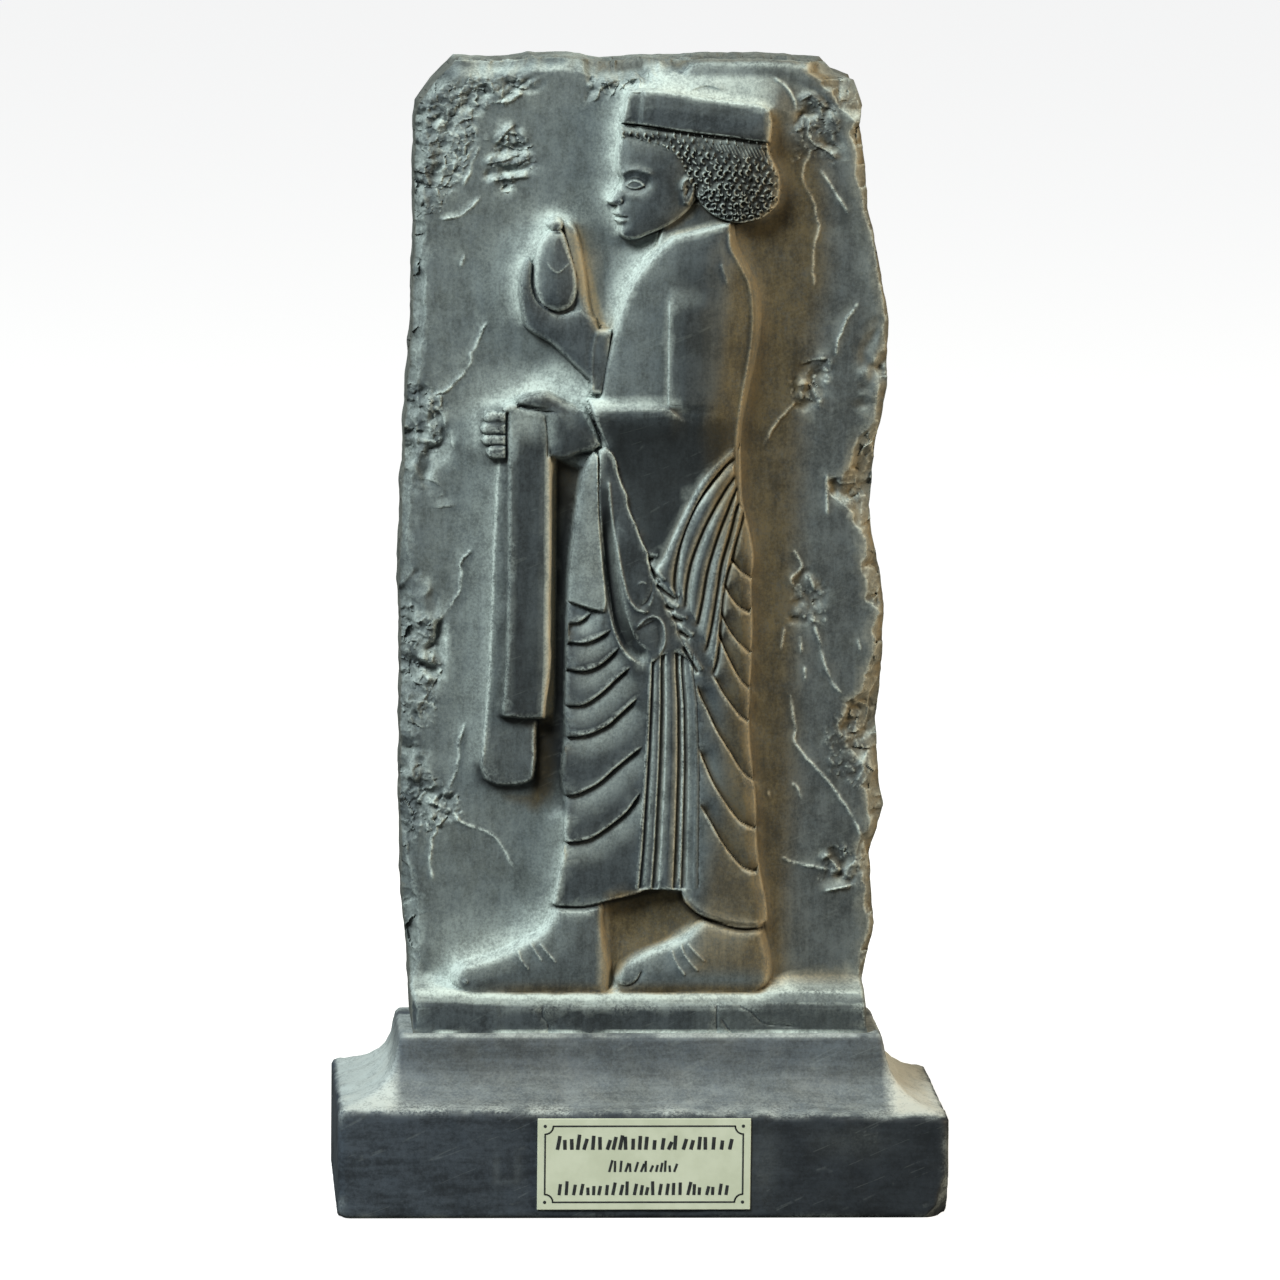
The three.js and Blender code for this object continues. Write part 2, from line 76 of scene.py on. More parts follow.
def cloud(x, y, z, size, seed):
    """Smooth random values from -1 to 1 that change over about this size."""
    table_side = 32
    if seed not in random_tables:
        random_tables[seed] = np.random.default_rng(seed).uniform(-1, 1, (table_side,) * 3)
    table = random_tables[seed]
    cells, shares = [], []
    for values in (x, y, z):
        scaled = np.asarray(values, float) / size + seed * 0.37
        whole = np.floor(scaled).astype(int)
        share = scaled - whole
        cells.append(whole)
        shares.append(share * share * (3 - 2 * share))
    total = 0.0
    for corner in range(8):
        steps = [corner >> axis & 1 for axis in range(3)]
        weight = 1.0
        for step, share in zip(steps, shares):
            weight = weight * (share if step else 1 - share)
        i, j, k = [(cell + step) % table_side for cell, step in zip(cells, steps)]
        total = total + weight * table[i, j, k]
    return total


def rough(x, y, z, size, seed, layers=3):
    """Random values in several sizes, each half as large and half as strong as the last."""
    total = 0.0
    for layer in range(layers):
        total = total + cloud(x, y, z, size / 2 ** layer, seed + layer) / 2 ** layer
    return total


def places_of(mesh):
    """The mesh's vertices in millimetres."""
    flat = np.empty(len(mesh.vertices) * 3)
    mesh.vertices.foreach_get("co", flat)
    return flat.reshape(-1, 3) / MM


def set_places(mesh, places):
    mesh.vertices.foreach_set("co", (places * MM).ravel())
    mesh.update()


def add_mask(mesh, name, values):
    """One number for each vertex, which the mesh's material reads by this name."""
    mask = mesh.attributes.new(name, "FLOAT", "POINT")
    mask.data.foreach_set("value", np.clip(values, 0, 1).astype(np.float32))


def add_piece(name, mesh, material, node):
    """Puts a finished mesh on the object in place of a CAD node."""
    mesh.shade_smooth()
    mesh.set_sharp_from_angle(angle=math.radians(65))
    mesh.materials.append(material)
    piece = bpy.data.objects.new(name, mesh)
    bpy.context.scene.collection.objects.link(piece)
    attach(piece, "root")
    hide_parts(node)
    return piece


def new_group(name, inputs, outputs):
    """A shader node group with its sockets, and its own input and output nodes."""
    group = bpy.data.node_groups.new(name, "ShaderNodeTree")
    for socket, kind, value in inputs:
        made = group.interface.new_socket(socket, in_out="INPUT", socket_type=kind)
        made.default_value = value
    for socket, kind in outputs:
        group.interface.new_socket(socket, in_out="OUTPUT", socket_type=kind)
    return group, group.nodes.new("NodeGroupInput"), group.nodes.new("NodeGroupOutput")


def math_node(tree, operation, first, second, clamp=False):
    """A Math node on two values, each a number or a socket."""
    node = tree.nodes.new("ShaderNodeMath")
    node.operation = operation
    node.use_clamp = clamp
    for socket, value in zip(node.inputs, (first, second)):
        if isinstance(value, (int, float)):
            socket.default_value = value
        else:
            tree.links.new(value, socket)
    return node.outputs[0]


def weighted_sum(tree, *pairs):
    """The sum of some sockets' values, each taken times its weight."""
    total, *others = [math_node(tree, "MULTIPLY", value, weight) for value, weight in pairs]
    for product in others:
        total = math_node(tree, "ADD", total, product)
    return total


def noise_node(tree, vector, scale, detail=4.0, roughness=0.6):
    node = tree.nodes.new("ShaderNodeTexNoise")
    node.inputs["Detail"].default_value = detail
    node.inputs["Roughness"].default_value = roughness
    tree.links.new(vector, node.inputs["Vector"])
    if isinstance(scale, (int, float)):
        node.inputs["Scale"].default_value = scale
    else:
        tree.links.new(scale, node.inputs["Scale"])
    return node.outputs["Fac"]


def ramp_node(tree, value, low, high):
    """The value stretched so that low gives 0 and high gives 1."""
    node = tree.nodes.new("ShaderNodeMapRange")
    node.interpolation_type = "SMOOTHSTEP"
    tree.links.new(value, node.inputs["Value"])
    for socket, number in (("From Min", low), ("From Max", high)):
        node.inputs[socket].default_value = number
    return node.outputs["Result"]


def mix_node(tree, share, first, second):
    """Two colours, each four numbers or a socket, mixed by a share."""
    node = tree.nodes.new("ShaderNodeMix")
    node.data_type = "RGBA"
    tree.links.new(share, node.inputs["Factor"])
    for socket, value in ((node.inputs[6], first), (node.inputs[7], second)):
        if isinstance(value, tuple):
            socket.default_value = value
        else:
            tree.links.new(value, socket)
    return node.outputs[2]


def make_grain_group():
    """The casting's fine grain: a height for the bump and a light and dark mottling."""
    group, inside, outside = new_group(
        "cast_grain",
        [("Vector", "NodeSocketVector", (0, 0, 0)), ("Grain", "NodeSocketFloat", 1400.0)],
        [("Height", "NodeSocketFloat"), ("Mottle", "NodeSocketFloat")],
    )
    vector, scale = inside.outputs["Vector"], inside.outputs["Grain"]
    grain = noise_node(group, vector, scale, 5.0, 0.7)
    pits = noise_node(group, vector, math_node(group, "MULTIPLY", scale, 0.35), 2.0, 0.5)
    pitted = ramp_node(group, pits, 0.2, 0.34)
    group.links.new(math_node(group, "ADD", grain, pitted), outside.inputs["Height"])
    broad = noise_node(group, vector, math_node(group, "MULTIPLY", scale, 0.07), 6.0, 0.65)
    group.links.new(weighted_sum(group, (broad, 0.55), (grain, 0.45)), outside.inputs["Mottle"])
    return group


def make_patina_and_light_group():
    """The finish over the casting: pale dust, pale worn edges, brown earth, and painted light and shade."""
    group, inside, outside = new_group(
        "patina_with_painted_light",
        [
            ("Vector", "NodeSocketVector", (0, 0, 0)),
            ("Streak Scale", "NodeSocketVector", (1, 1, 1)),
            ("Mottle", "NodeSocketFloat", 0.5),
            ("Stone", "NodeSocketColor", (0.06, 0.07, 0.08, 1)),
            ("Dust And Highlight Colour", "NodeSocketColor", (0.45, 0.5, 0.47, 1)),
            ("Earth And Shade Colour", "NodeSocketColor", (0.1, 0.08, 0.045, 1)),
            ("Warm Lit Tan Colour", "NodeSocketColor", (0.34, 0.28, 0.18, 1)),
            ("Worn", "NodeSocketFloat", 0.0),
            ("Dust_And_Highlight", "NodeSocketFloat", 0.0),
            ("Earth_And_Shade", "NodeSocketFloat", 0.0),
            ("Rubbed_And_Shaded", "NodeSocketFloat", 0.0),
            ("Scratched", "NodeSocketFloat", 0.0),
        ],
        [("Colour", "NodeSocketColor"), ("Roughness", "NodeSocketFloat")],
    )
    vector, mottle = inside.outputs["Vector"], inside.outputs["Mottle"]
    patches = noise_node(group, vector, 220.0, 5.0, 0.6)
    speckle = noise_node(group, vector, 1500.0, 3.0, 0.7)
    slanted = group.nodes.new("ShaderNodeMapping")
    slanted.vector_type = "TEXTURE"
    slanted.inputs["Rotation"].default_value = (0, math.radians(-24), 0)
    slanted.inputs["Scale"].default_value = (5, 1, 0.42)
    group.links.new(vector, slanted.inputs["Vector"])
    waves = noise_node(group, slanted.outputs["Vector"], 70.0, 2.0, 0.5)
    off_line = math_node(group, "ABSOLUTE", math_node(group, "SUBTRACT", waves, 0.5), 0.0)
    scratches = math_node(
        group, "MULTIPLY", ramp_node(group, off_line, 0.016, 0.0), ramp_node(group, patches, 0.48, 0.6))
    scratches = math_node(group, "MULTIPLY", scratches, inside.outputs["Scratched"])
    stretch = group.nodes.new("ShaderNodeVectorMath")
    stretch.operation = "MULTIPLY"
    group.links.new(vector, stretch.inputs[0])
    group.links.new(inside.outputs["Streak Scale"], stretch.inputs[1])
    streaks = noise_node(group, stretch.outputs["Vector"], 420.0, 4.0, 0.7)
    uneven = weighted_sum(group, (patches, 0.35), (speckle, 0.5), (streaks, 0.15))
    brushed = ramp_node(group, uneven, 0.36, 0.64)
    # The earth mask lays brown earth and painted warm shade, the dust mask pale dust and painted
    # highlights, the rubbed mask darker stone and painted shade
    earth_and_shade = math_node(group, "MULTIPLY", inside.outputs["Earth_And_Shade"], ramp_node(group, uneven, 0.1, 0.6), True)
    strength = math_node(group, "ADD", math_node(group, "MULTIPLY", brushed, 0.9), 0.55)
    dust_and_highlight_share = math_node(group, "MULTIPLY", inside.outputs["Dust_And_Highlight"], strength, True)
    worn = math_node(group, "MULTIPLY", inside.outputs["Worn"], ramp_node(group, uneven, 0.38, 0.58), True)
    earthy_and_shaded = mix_node(group, earth_and_shade, inside.outputs["Stone"], inside.outputs["Earth And Shade Colour"])
    tone = ramp_node(group, weighted_sum(group, (mottle, 0.7), (streaks, 0.3)), 0.39, 0.61)
    mottled = mix_node(group, tone, (0.5, 0.5, 0.5, 1), (1.5, 1.5, 1.5, 1))
    darker = mix_node(group, inside.outputs["Rubbed_And_Shaded"], mottled, (0.2, 0.2, 0.2, 1))
    toned = group.nodes.new("ShaderNodeMix")
    toned.data_type = "RGBA"
    toned.blend_type = "MULTIPLY"
    toned.inputs["Factor"].default_value = 1.0
    group.links.new(earthy_and_shaded, toned.inputs[6])
    group.links.new(darker, toned.inputs[7])
    # Where earth lies the pale turns tan: painted warm light on slopes that face the warm lamp
    pale = mix_node(group, earth_and_shade, inside.outputs["Dust And Highlight Colour"], inside.outputs["Warm Lit Tan Colour"])
    dusted_and_highlighted = mix_node(group, dust_and_highlight_share, toned.outputs[2], pale)
    finished = mix_node(group, worn, dusted_and_highlighted, pale)
    scratched = mix_node(group, scratches, finished, pale)
    group.links.new(scratched, outside.inputs["Colour"])
    covered = math_node(group, "MULTIPLY", math_node(group, "ADD", earth_and_shade, dust_and_highlight_share), 0.25)
    rougher = math_node(group, "ADD", covered, math_node(group, "MULTIPLY", mottle, 0.2))
    group.links.new(math_node(group, "ADD", rougher, 0.5, True), outside.inputs["Roughness"])
    return group


cast_grain = make_grain_group()
patina_with_painted_light = make_patina_and_light_group()


def stone_material(name, stone, dust_and_highlight, earth_and_shade, warm_lit_tan, streak_scale, grain, bump_height, scratched):
    """Dark cast stone: its own colours in the shared grain and in the patina and painted light, and its
    masks from the mesh.
    """
    material = bpy.data.materials.new(name)
    material.use_nodes = True
    tree = material.node_tree
    shader = tree.nodes["Principled BSDF"]
    shader.inputs["Specular IOR Level"].default_value = 0.25
    coordinates = tree.nodes.new("ShaderNodeTexCoord").outputs["Object"]
    texture = tree.nodes.new("ShaderNodeGroup")
    texture.node_tree = cast_grain
    texture.inputs["Grain"].default_value = grain
    tree.links.new(coordinates, texture.inputs["Vector"])
    patina_and_light = tree.nodes.new("ShaderNodeGroup")
    patina_and_light.node_tree = patina_with_painted_light
    tree.links.new(coordinates, patina_and_light.inputs["Vector"])
    tree.links.new(texture.outputs["Mottle"], patina_and_light.inputs["Mottle"])
    patina_and_light.inputs["Streak Scale"].default_value = streak_scale
    patina_and_light.inputs["Scratched"].default_value = scratched
    colours = (("Stone", stone), ("Dust And Highlight Colour", dust_and_highlight), ("Earth And Shade Colour", earth_and_shade), ("Warm Lit Tan Colour", warm_lit_tan))
    for socket, colour in colours:
        patina_and_light.inputs[socket].default_value = (*colour, 1)
    for socket in ("Worn", "Dust_And_Highlight", "Earth_And_Shade", "Rubbed_And_Shaded"):
        mask = tree.nodes.new("ShaderNodeAttribute")
        mask.attribute_name = socket.lower()
        tree.links.new(mask.outputs["Fac"], patina_and_light.inputs[socket])
    bump = tree.nodes.new("ShaderNodeBump")
    bump.inputs["Strength"].default_value = 1.0
    bump.inputs["Distance"].default_value = bump_height
    tree.links.new(texture.outputs["Height"], bump.inputs["Height"])
    tree.links.new(patina_and_light.outputs["Colour"], shader.inputs["Base Color"])
    tree.links.new(patina_and_light.outputs["Roughness"], shader.inputs["Roughness"])
    tree.links.new(bump.outputs["Normal"], shader.inputs["Normal"])
    return material


def section_rings(section, cell):
    """The section's corners with steps of about one cell between them."""
    rings = [section[0]]
    for (inset, z), (next_inset, next_z) in zip(section, section[1:]):
        steps = max(1, round(math.hypot(next_inset - inset, next_z - z) / cell))
        for step in range(1, steps + 1):
            share = step / steps
            rings.append((inset + (next_inset - inset) * share, z + (next_z - z) * share))
    return rings


def make_plinth_mesh():
    """A grid for the flat top, with its rim drawn out and down ring by ring along the section."""
    half = np.array([PLINTH_WIDTH / 2, PLINTH_DEPTH / 2])
    plinth = bmesh.new()
    bmesh.ops.create_grid(plinth, x_segments=round(PLINTH_WIDTH / CELL_OF_PLINTH),
                          y_segments=round(PLINTH_DEPTH / CELL_OF_PLINTH), size=1.0)
    for vertex in plinth.verts:
        beyond = np.array([abs(vertex.co.x), abs(vertex.co.y)]) * half - (half - CORNER_RADIUS)
        if min(beyond) > 0:
            beyond *= min(1.0, CORNER_RADIUS / math.hypot(*beyond))
            rounded = (half - CORNER_RADIUS + beyond) / half
            vertex.co.x = math.copysign(rounded[0], vertex.co.x)
            vertex.co.y = math.copysign(rounded[1], vertex.co.y)
    sizes = [(half - inset, z) for inset, z in section_rings(PLINTH_SECTION, CELL_OF_PLINTH)]
    before, top = sizes.pop()
    for vertex in plinth.verts:
        vertex.co = (vertex.co.x * before[0], vertex.co.y * before[1], top)
    rim = [edge for edge in plinth.edges if edge.is_boundary]
    for size, z in reversed(sizes):
        drawn = bmesh.ops.extrude_edge_only(plinth, edges=rim)["geom"]
        rim = [element for element in drawn if isinstance(element, bmesh.types.BMEdge)]
        for vertex in drawn:
            if isinstance(vertex, bmesh.types.BMVert):
                vertex.co = (vertex.co.x * size[0] / before[0], vertex.co.y * size[1] / before[1], z)
        before = size
    bmesh.ops.contextual_create(plinth, geom=rim)
    bmesh.ops.recalc_face_normals(plinth, faces=plinth.faces)
    mesh = bpy.data.meshes.new("plinth_casting")
    plinth.to_mesh(mesh)
    plinth.free()
    set_places(mesh, places_of(mesh) * MM)
    return mesh


plinth_mesh = make_plinth_mesh()

# Flat breaks at the block's corners: a place on each break, and the way it faces
CORNER_CHIPS = (
    ((73.2, -34.0, 3.0), (0.75, -0.5, -0.55)), ((75.0, -32.6, 4.6), (0.8, -0.6, -0.2)),
    ((-75.2, -34.2, 1.2), (-0.5, -0.4, -0.75)), ((75.0, -34.6, 25.4), (0.6, -0.55, 0.6)),
)
# Faint marks on the block's face: each one's middle across and up, and how wide and how tall it is
FACE_MARKS = (
    (-36.6, 13, 0.9, 4), (-31.4, 13, 0.9, 4), (-34, 9.4, 3, 0.8), (30, 14, 3.5, 9), (52, 20, 9, 4),
)


def wear_plinth(mesh):
    """Sags and chips the casting a little, and marks where it is worn, dusty and stained, and where light
    and shade are painted.
    """
    places = places_of(mesh)
    x, y, z = places.T
    flat = np.empty(len(mesh.vertices) * 3)
    mesh.vertices.foreach_get("normal", flat)
    normals = flat.reshape(-1, 3)
    moved = places.copy()
    across = x / PLINTH_WIDTH + 0.5
    moved[:, 2] -= EDGE_SAG * across * np.exp(-((z - BLOCK_TOP) / SAG_REACH) ** 2)
    standing = np.clip(z / 2, 0, 1) * np.clip((PLINTH_TOP - z) / 2, 0, 1)
    edge = np.exp(-((z - BLOCK_TOP) / WORN_EDGE_REACH) ** 2)
    wobble = 0.22 * rough(x, y, z, 24, 11) + 0.1 * rough(x, y, z, 3, 15)
    wear = -edge * (0.25 + 0.35 * rough(x, y, z, 7, 19))
    moved += normals * ((wobble + wear) * standing)[:, None]
    chipped = np.zeros(len(x))
    for place, facing in CORNER_CHIPS:
        facing = np.array(facing) / np.linalg.norm(facing)
        beyond = (moved - place) @ facing + 0.35 * rough(x, y, z, 2.5, 23)
        moved -= facing * np.maximum(beyond, 0)[:, None]
        chipped = np.maximum(chipped, np.clip(beyond * 2, 0, 1))
    moved[:, 0] = np.clip(moved[:, 0], -PLINTH_WIDTH / 2, PLINTH_WIDTH / 2)
    moved[:, 2] = np.clip(moved[:, 2], 0, PLINTH_TOP)
    moved[z < 0.01, 2] = 0
    set_places(mesh, moved)
    from_corner = np.hypot(PLINTH_WIDTH / 2 - abs(x), PLINTH_DEPTH / 2 - abs(y))
    corner = np.clip(1 - from_corner / WORN_CORNER_REACH, 0, 1)
    blotches = np.clip(0.3 + 0.8 * rough(x, y, z, 6, 31), 0, 1)
    foot = np.exp(-(z / 0.9) ** 2)
    moulding = np.clip((z - BLOCK_TOP + 0.6) / 0.7, 0, 1)
    # Painted light on the moulding's ends: both pale, the right one tan as if lit by the warm lamp
    end = np.clip((abs(x) - 60) / 4, 0, 1) * np.clip(z - BLOCK_TOP + 0.5, 0, 1)
    crease = np.exp(-((z - BLOCK_TOP + 0.2) / 0.6) ** 2) * np.clip(0.35 + rough(x, y, z, 2.6, 53), 0, 1)
    worn = blotches * (0.6 * edge + 0.6 * corner + 0.6 * foot + 0.3 * chipped) + 0.5 * crease + 0.3 * end
    seam = np.exp(-((z - PLINTH_TOP + 0.2) / 0.5) ** 2) * np.clip(0.9 + rough(x, y, z, 5, 37), 0, 1)
    dust_and_highlight = moulding * np.interp(z, (28, 31, 36, 43.5), (0.2, 0.2, 0.1, 0.06)) + 0.6 * seam
    dust_and_highlight = dust_and_highlight + end * np.where(x < 0, 1, 0.85)
    on_front = np.clip(-y - 33, 0, 1) * (1 - moulding)
    for middle_x, middle_z, wide, tall in FACE_MARKS:
        dust_and_highlight = dust_and_highlight + 0.05 * on_front * np.exp(-((x - middle_x) / wide) ** 2 - ((z - middle_z) / tall) ** 2)
    earth_and_shade = 0.5 * end * (x > 0) + 0.1 * moulding * blotches
    # Painted shade: the block's face grows darker toward the right, away from the key light
    rubbed_and_shaded = (1 - moulding) * np.interp(x, (-76, 60), (0.06, 0.72))
    for name, values in (("worn", worn), ("dust_and_highlight", dust_and_highlight), ("earth_and_shade", earth_and_shade), ("rubbed_and_shaded", rubbed_and_shaded)):
        add_mask(mesh, name, values)


wear_plinth(plinth_mesh)

plinth_stone = stone_material(
    "plinth_slate", stone=(0.04, 0.05, 0.063), dust_and_highlight=(0.45, 0.5, 0.49), earth_and_shade=(0.1, 0.085, 0.06),
    warm_lit_tan=(0.42, 0.38, 0.3), streak_scale=(0.12, 1, 1), grain=1100.0, bump_height=0.00003, scratched=0.07)
add_piece("plinth_block", plinth_mesh, plinth_stone, "plinth")


# The relief slab
#
# The second casting, in the same stone: a slab with rough broken edges, its foot step, and the
# attendant carved on its face. It is modelled as a fine grid whose points move out of the slab's
# ground by how far the carving stands proud there, closed with broken sides and a plain back.

slab_low, slab_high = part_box("relief_slab")
SLAB_TOP = slab_high.z / MM
SLAB_FOOT = slab_low.z / MM
GROUND_Y = -9.0
BACK_Y = 14.0
STEP_FRONT_Y = -16.5
STEP_TOP = 51.0
FINE_CELL, PLAIN_CELL = 0.21, 0.34
HEAD_LEFT, HEAD_RIGHT, HEAD_LOW, HEAD_HIGH = -12.0, 34.0, 240.0, 282.0
GRID_MULTIPLE = 8
HALF_SPAN = 60.0
SLAB_TRIANGLES = 190_000
RIM_STEPS = 8

SLAB_LEFT_EDGE = (
    (-56.9, 43.4), (-57.4, 52), (-57.7, 56), (-58.5, 66.4), (-59.9, 80.9), (-59.6, 90.7), (-60.1, 105),
    (-60.0, 114.7), (-60.4, 126.3), (-60.6, 148.9), (-60.7, 160), (-60.5, 171.5), (-59.5, 196.5),
    (-58.1, 218.9), (-57.5, 243.8), (-57.4, 270), (-57.1, 274.2), (-53.6, 279), (-50.6, 282.6),
    (-48.6, 284.6), (-47.6, 285.5),
)
SLAB_RIGHT_EDGE = (
    (56.7, 43.4), (56.4, 50), (55.9, 56), (57.1, 62.4), (58.9, 69.7), (58.2, 74.6), (57.5, 86.8),
    (58.7, 91.6), (60.8, 99.7), (59.6, 107), (58.7, 123), (59.6, 130), (60.1, 134.3), (60.3, 150.5),
    (59.2, 159.3), (57.6, 164.8), (56.5, 174.6), (57.3, 189.4), (58.7, 197.6), (60.2, 205.7), (60.3, 221.6),
    (58.1, 233.6), (54.9, 249.5), (53.5, 265.1), (52.4, 270.1), (53.3, 274.8), (51.3, 281), (46.0, 282.9),
    (43.6, 285.5),
)
# The top edge's waves: places across, and how far it stands above or below the level top there
TOP_WAVE = (
    (-48, 0), (-42, -0.4), (-36, -0.5), (-29, 0.8), (-20, 0.8), (-12, -0.5), (-3, 0.1), (8, 0.4), (15, 0.9),
    (30, 0.9), (40, 0.3), (44, 0),
)


def read_off(pairs, places):
    """The second numbers of the pairs, read off along a line at these places among the first."""
    firsts, seconds = np.array(pairs, float).T
    return np.interp(places, firsts, seconds)


def along_edge(edge, z):
    """The edge's x at these heights, ragged above the step."""
    places = np.array(edge)
    ragged = 0.35 * rough(places[0, 0] + 0 * z, 0 * z, z, 5, 41) * np.clip((z - 51) / 5, 0, 1)
    return np.interp(z, places[:, 1], places[:, 0]) + ragged


def top_rise(x, z):
    """How far the wavy top edge stands above or below the level top, fading out below it."""
    return (read_off(TOP_WAVE, x) + 0.25 * rough(x, 0 * x, 0 * x, 4, 47)) * np.clip((z - 277) / 8.5, 0, 1)


def spaced(low, high, fine_low, fine_high):
    """Steps from low to high, finer between two places, their number a multiple of GRID_MULTIPLE."""
    plain_share = ((high - low) - (fine_high - fine_low)) / PLAIN_CELL
    fine_share = (fine_high - fine_low) / FINE_CELL
    count = math.ceil((plain_share + fine_share) / GRID_MULTIPLE) * GRID_MULTIPLE
    stops = np.array([low, fine_low, fine_high, high])
    densities = np.diff(stops) / np.array([PLAIN_CELL, FINE_CELL, PLAIN_CELL])
    counted = np.concatenate([[0], np.cumsum(densities)])
    return np.interp(np.linspace(0, counted[-1], count + 1), counted, stops)


up_steps = spaced(SLAB_FOOT, SLAB_TOP, HEAD_LOW, HEAD_HIGH)
across_steps = spaced(-HALF_SPAN, HALF_SPAN, HEAD_LEFT, HEAD_RIGHT)
across_shares = (across_steps + HALF_SPAN) / (2 * HALF_SPAN)
edge_left = along_edge(SLAB_LEFT_EDGE, up_steps)[:, None]
edge_right = along_edge(SLAB_RIGHT_EDGE, up_steps)[:, None]
grid_x = edge_left + (edge_right - edge_left) * across_shares[None, :]
grid_z = np.repeat(up_steps[:, None], len(across_steps), axis=1)
proud = np.zeros_like(grid_x)


def curve_through(points, spacing=0.7):
    """A smooth line through a few places, as places about this far apart."""
    knots = np.array(points, float)
    if len(knots) < 3:
        return knots
    padded = np.vstack([2 * knots[0] - knots[1], knots, 2 * knots[-1] - knots[-2]])
    line = []
    for before, start, end, after in zip(padded, padded[1:], padded[2:], padded[3:]):
        steps = max(1, int(np.hypot(*(end - start)) / spacing))
        share = (np.arange(steps) / steps)[:, None]
        line.append(0.5 * (
            2 * start + (end - before) * share + (2 * before - 5 * start + 4 * end - after) * share ** 2
            + (3 * start - before - 3 * end + after) * share ** 3))
    line.append(padded[-2:-1])
    return np.vstack(line)


def outline_of(*runs):
    """A closed outline from several smooth runs, with corners where one run meets the next."""
    return np.vstack([curve_through(run) for run in runs])


def part_near(line, reach):
    """The rows and columns of the grid that are within reach of a line."""
    low, high = line.min(0) - reach, line.max(0) + reach
    rows = slice(np.searchsorted(up_steps, low[1]), np.searchsorted(up_steps, high[1]))
    band = grid_x[rows]
    columns = np.flatnonzero((band.max(0) > low[0]) & (band.min(0) < high[0]))
    return rows, slice(columns[0], columns[-1] + 1)


def distances(line, reach, closed=False):
    """The grid's part near a line, with each place's distance from it, its side and how far along it is."""
    part = part_near(line, reach)
    x, z = grid_x[part], grid_z[part]
    nearest = np.full(x.shape, np.inf)
    side = np.ones(x.shape)
    along = np.zeros(x.shape)
    within = np.zeros(x.shape, bool)
    ends = np.vstack([line, line[:1]]) if closed else line
    travelled = 0.0
    for (start_x, start_z), (end_x, end_z) in zip(ends, ends[1:]):
        run_x, run_z = end_x - start_x, end_z - start_z
        length = math.hypot(run_x, run_z)
        if length < 1e-9:
            continue
        share = np.clip(((x - start_x) * run_x + (z - start_z) * run_z) / length ** 2, 0, 1)
        off_x, off_z = x - start_x - share * run_x, z - start_z - share * run_z
        apart = off_x ** 2 + off_z ** 2
        closer = apart < nearest
        nearest = np.where(closer, apart, nearest)
        if closed:
            crosses = (start_z > z) != (end_z > z)
            if run_z:
                within ^= crosses & (x < start_x + (z - start_z) * run_x / run_z)
        else:
            side = np.where(closer, run_x * off_z - run_z * off_x, side)
            along = np.where(closer, travelled + share * length, along)
        travelled += length
    distance = np.sqrt(nearest)
    if closed:
        return part, np.where(within, distance, -distance)
    return part, distance, side > 0, along, travelled


def eased(share):
    """From 0 to 1 with a soft start and a soft end."""
    share = np.clip(share, 0, 1)
    return share * share * (3 - 2 * share)


def rising(values, start, reach):
    """0 up to the start, then softly up to 1 over the reach."""
    return eased((values - start) / reach)


def falling(values, start, reach):
    """1 up to the start, then softly down to 0 over the reach."""
    return 1 - rising(values, start, reach)


def raise_form(outline, height, slope=1.2, crown=0.0, crown_reach=4.0):
    """Brings the carving up to a height within an outline, with sloping sides and a rounded crown.

    The height is a number or a function of x and z.
    """
    part, inside = distances(outline, slope, closed=True)
    if callable(height):
        height = height(grid_x[part], grid_z[part])
    dome = crown * (1 - np.exp(-np.clip(inside, 0, None) / crown_reach))
    form = height * eased(inside / slope + 0.5) + dome
    proud[part] = np.where(inside > -slope / 2, np.maximum(proud[part], form), proud[part])


def swell(outline, height, slope):
    """Adds to the carving within an outline, fading over the slope."""
    part, inside = distances(outline, slope, closed=True)
    proud[part] += height * eased(inside / slope + 0.5)


def cut_line(points, depth, left=0.5, right=0.5, start=1.0, end=1.0, power=1.6):
    """A valley along a line, fading over one width on its left side and another on its right."""
    line = curve_through(points)
    part, distance, on_left, along, length = distances(line, max(left, right))
    width = np.where(on_left, left, right)
    fall = np.clip(1 - distance / width, 0, 1) ** power
    ends = eased(along / max(start, 1e-6)) * eased((length - along) / max(end, 1e-6))
    proud[part] -= depth * fall * ends


def raise_line(points, height, width=0.8, start=1.0, end=1.0, waver=0.0):
    """A thin ridge along a line, rounded across and fading at both ends, which may waver a little."""
    line = curve_through(points)
    x, z = line.T
    line = line + waver * np.stack([cloud(x, 0 * x, z, 1.9, 5), cloud(x, 0 * x, z, 1.9, 6)], axis=1)
    part, distance, _, along, length = distances(line, width * 1.5)
    ends = eased(along / max(start, 1e-6) + 0.2) * eased((length - along) / max(end, 1e-6) + 0.2)
    proud[part] += height * np.exp(-(distance / (width / 2)) ** 2) * ends


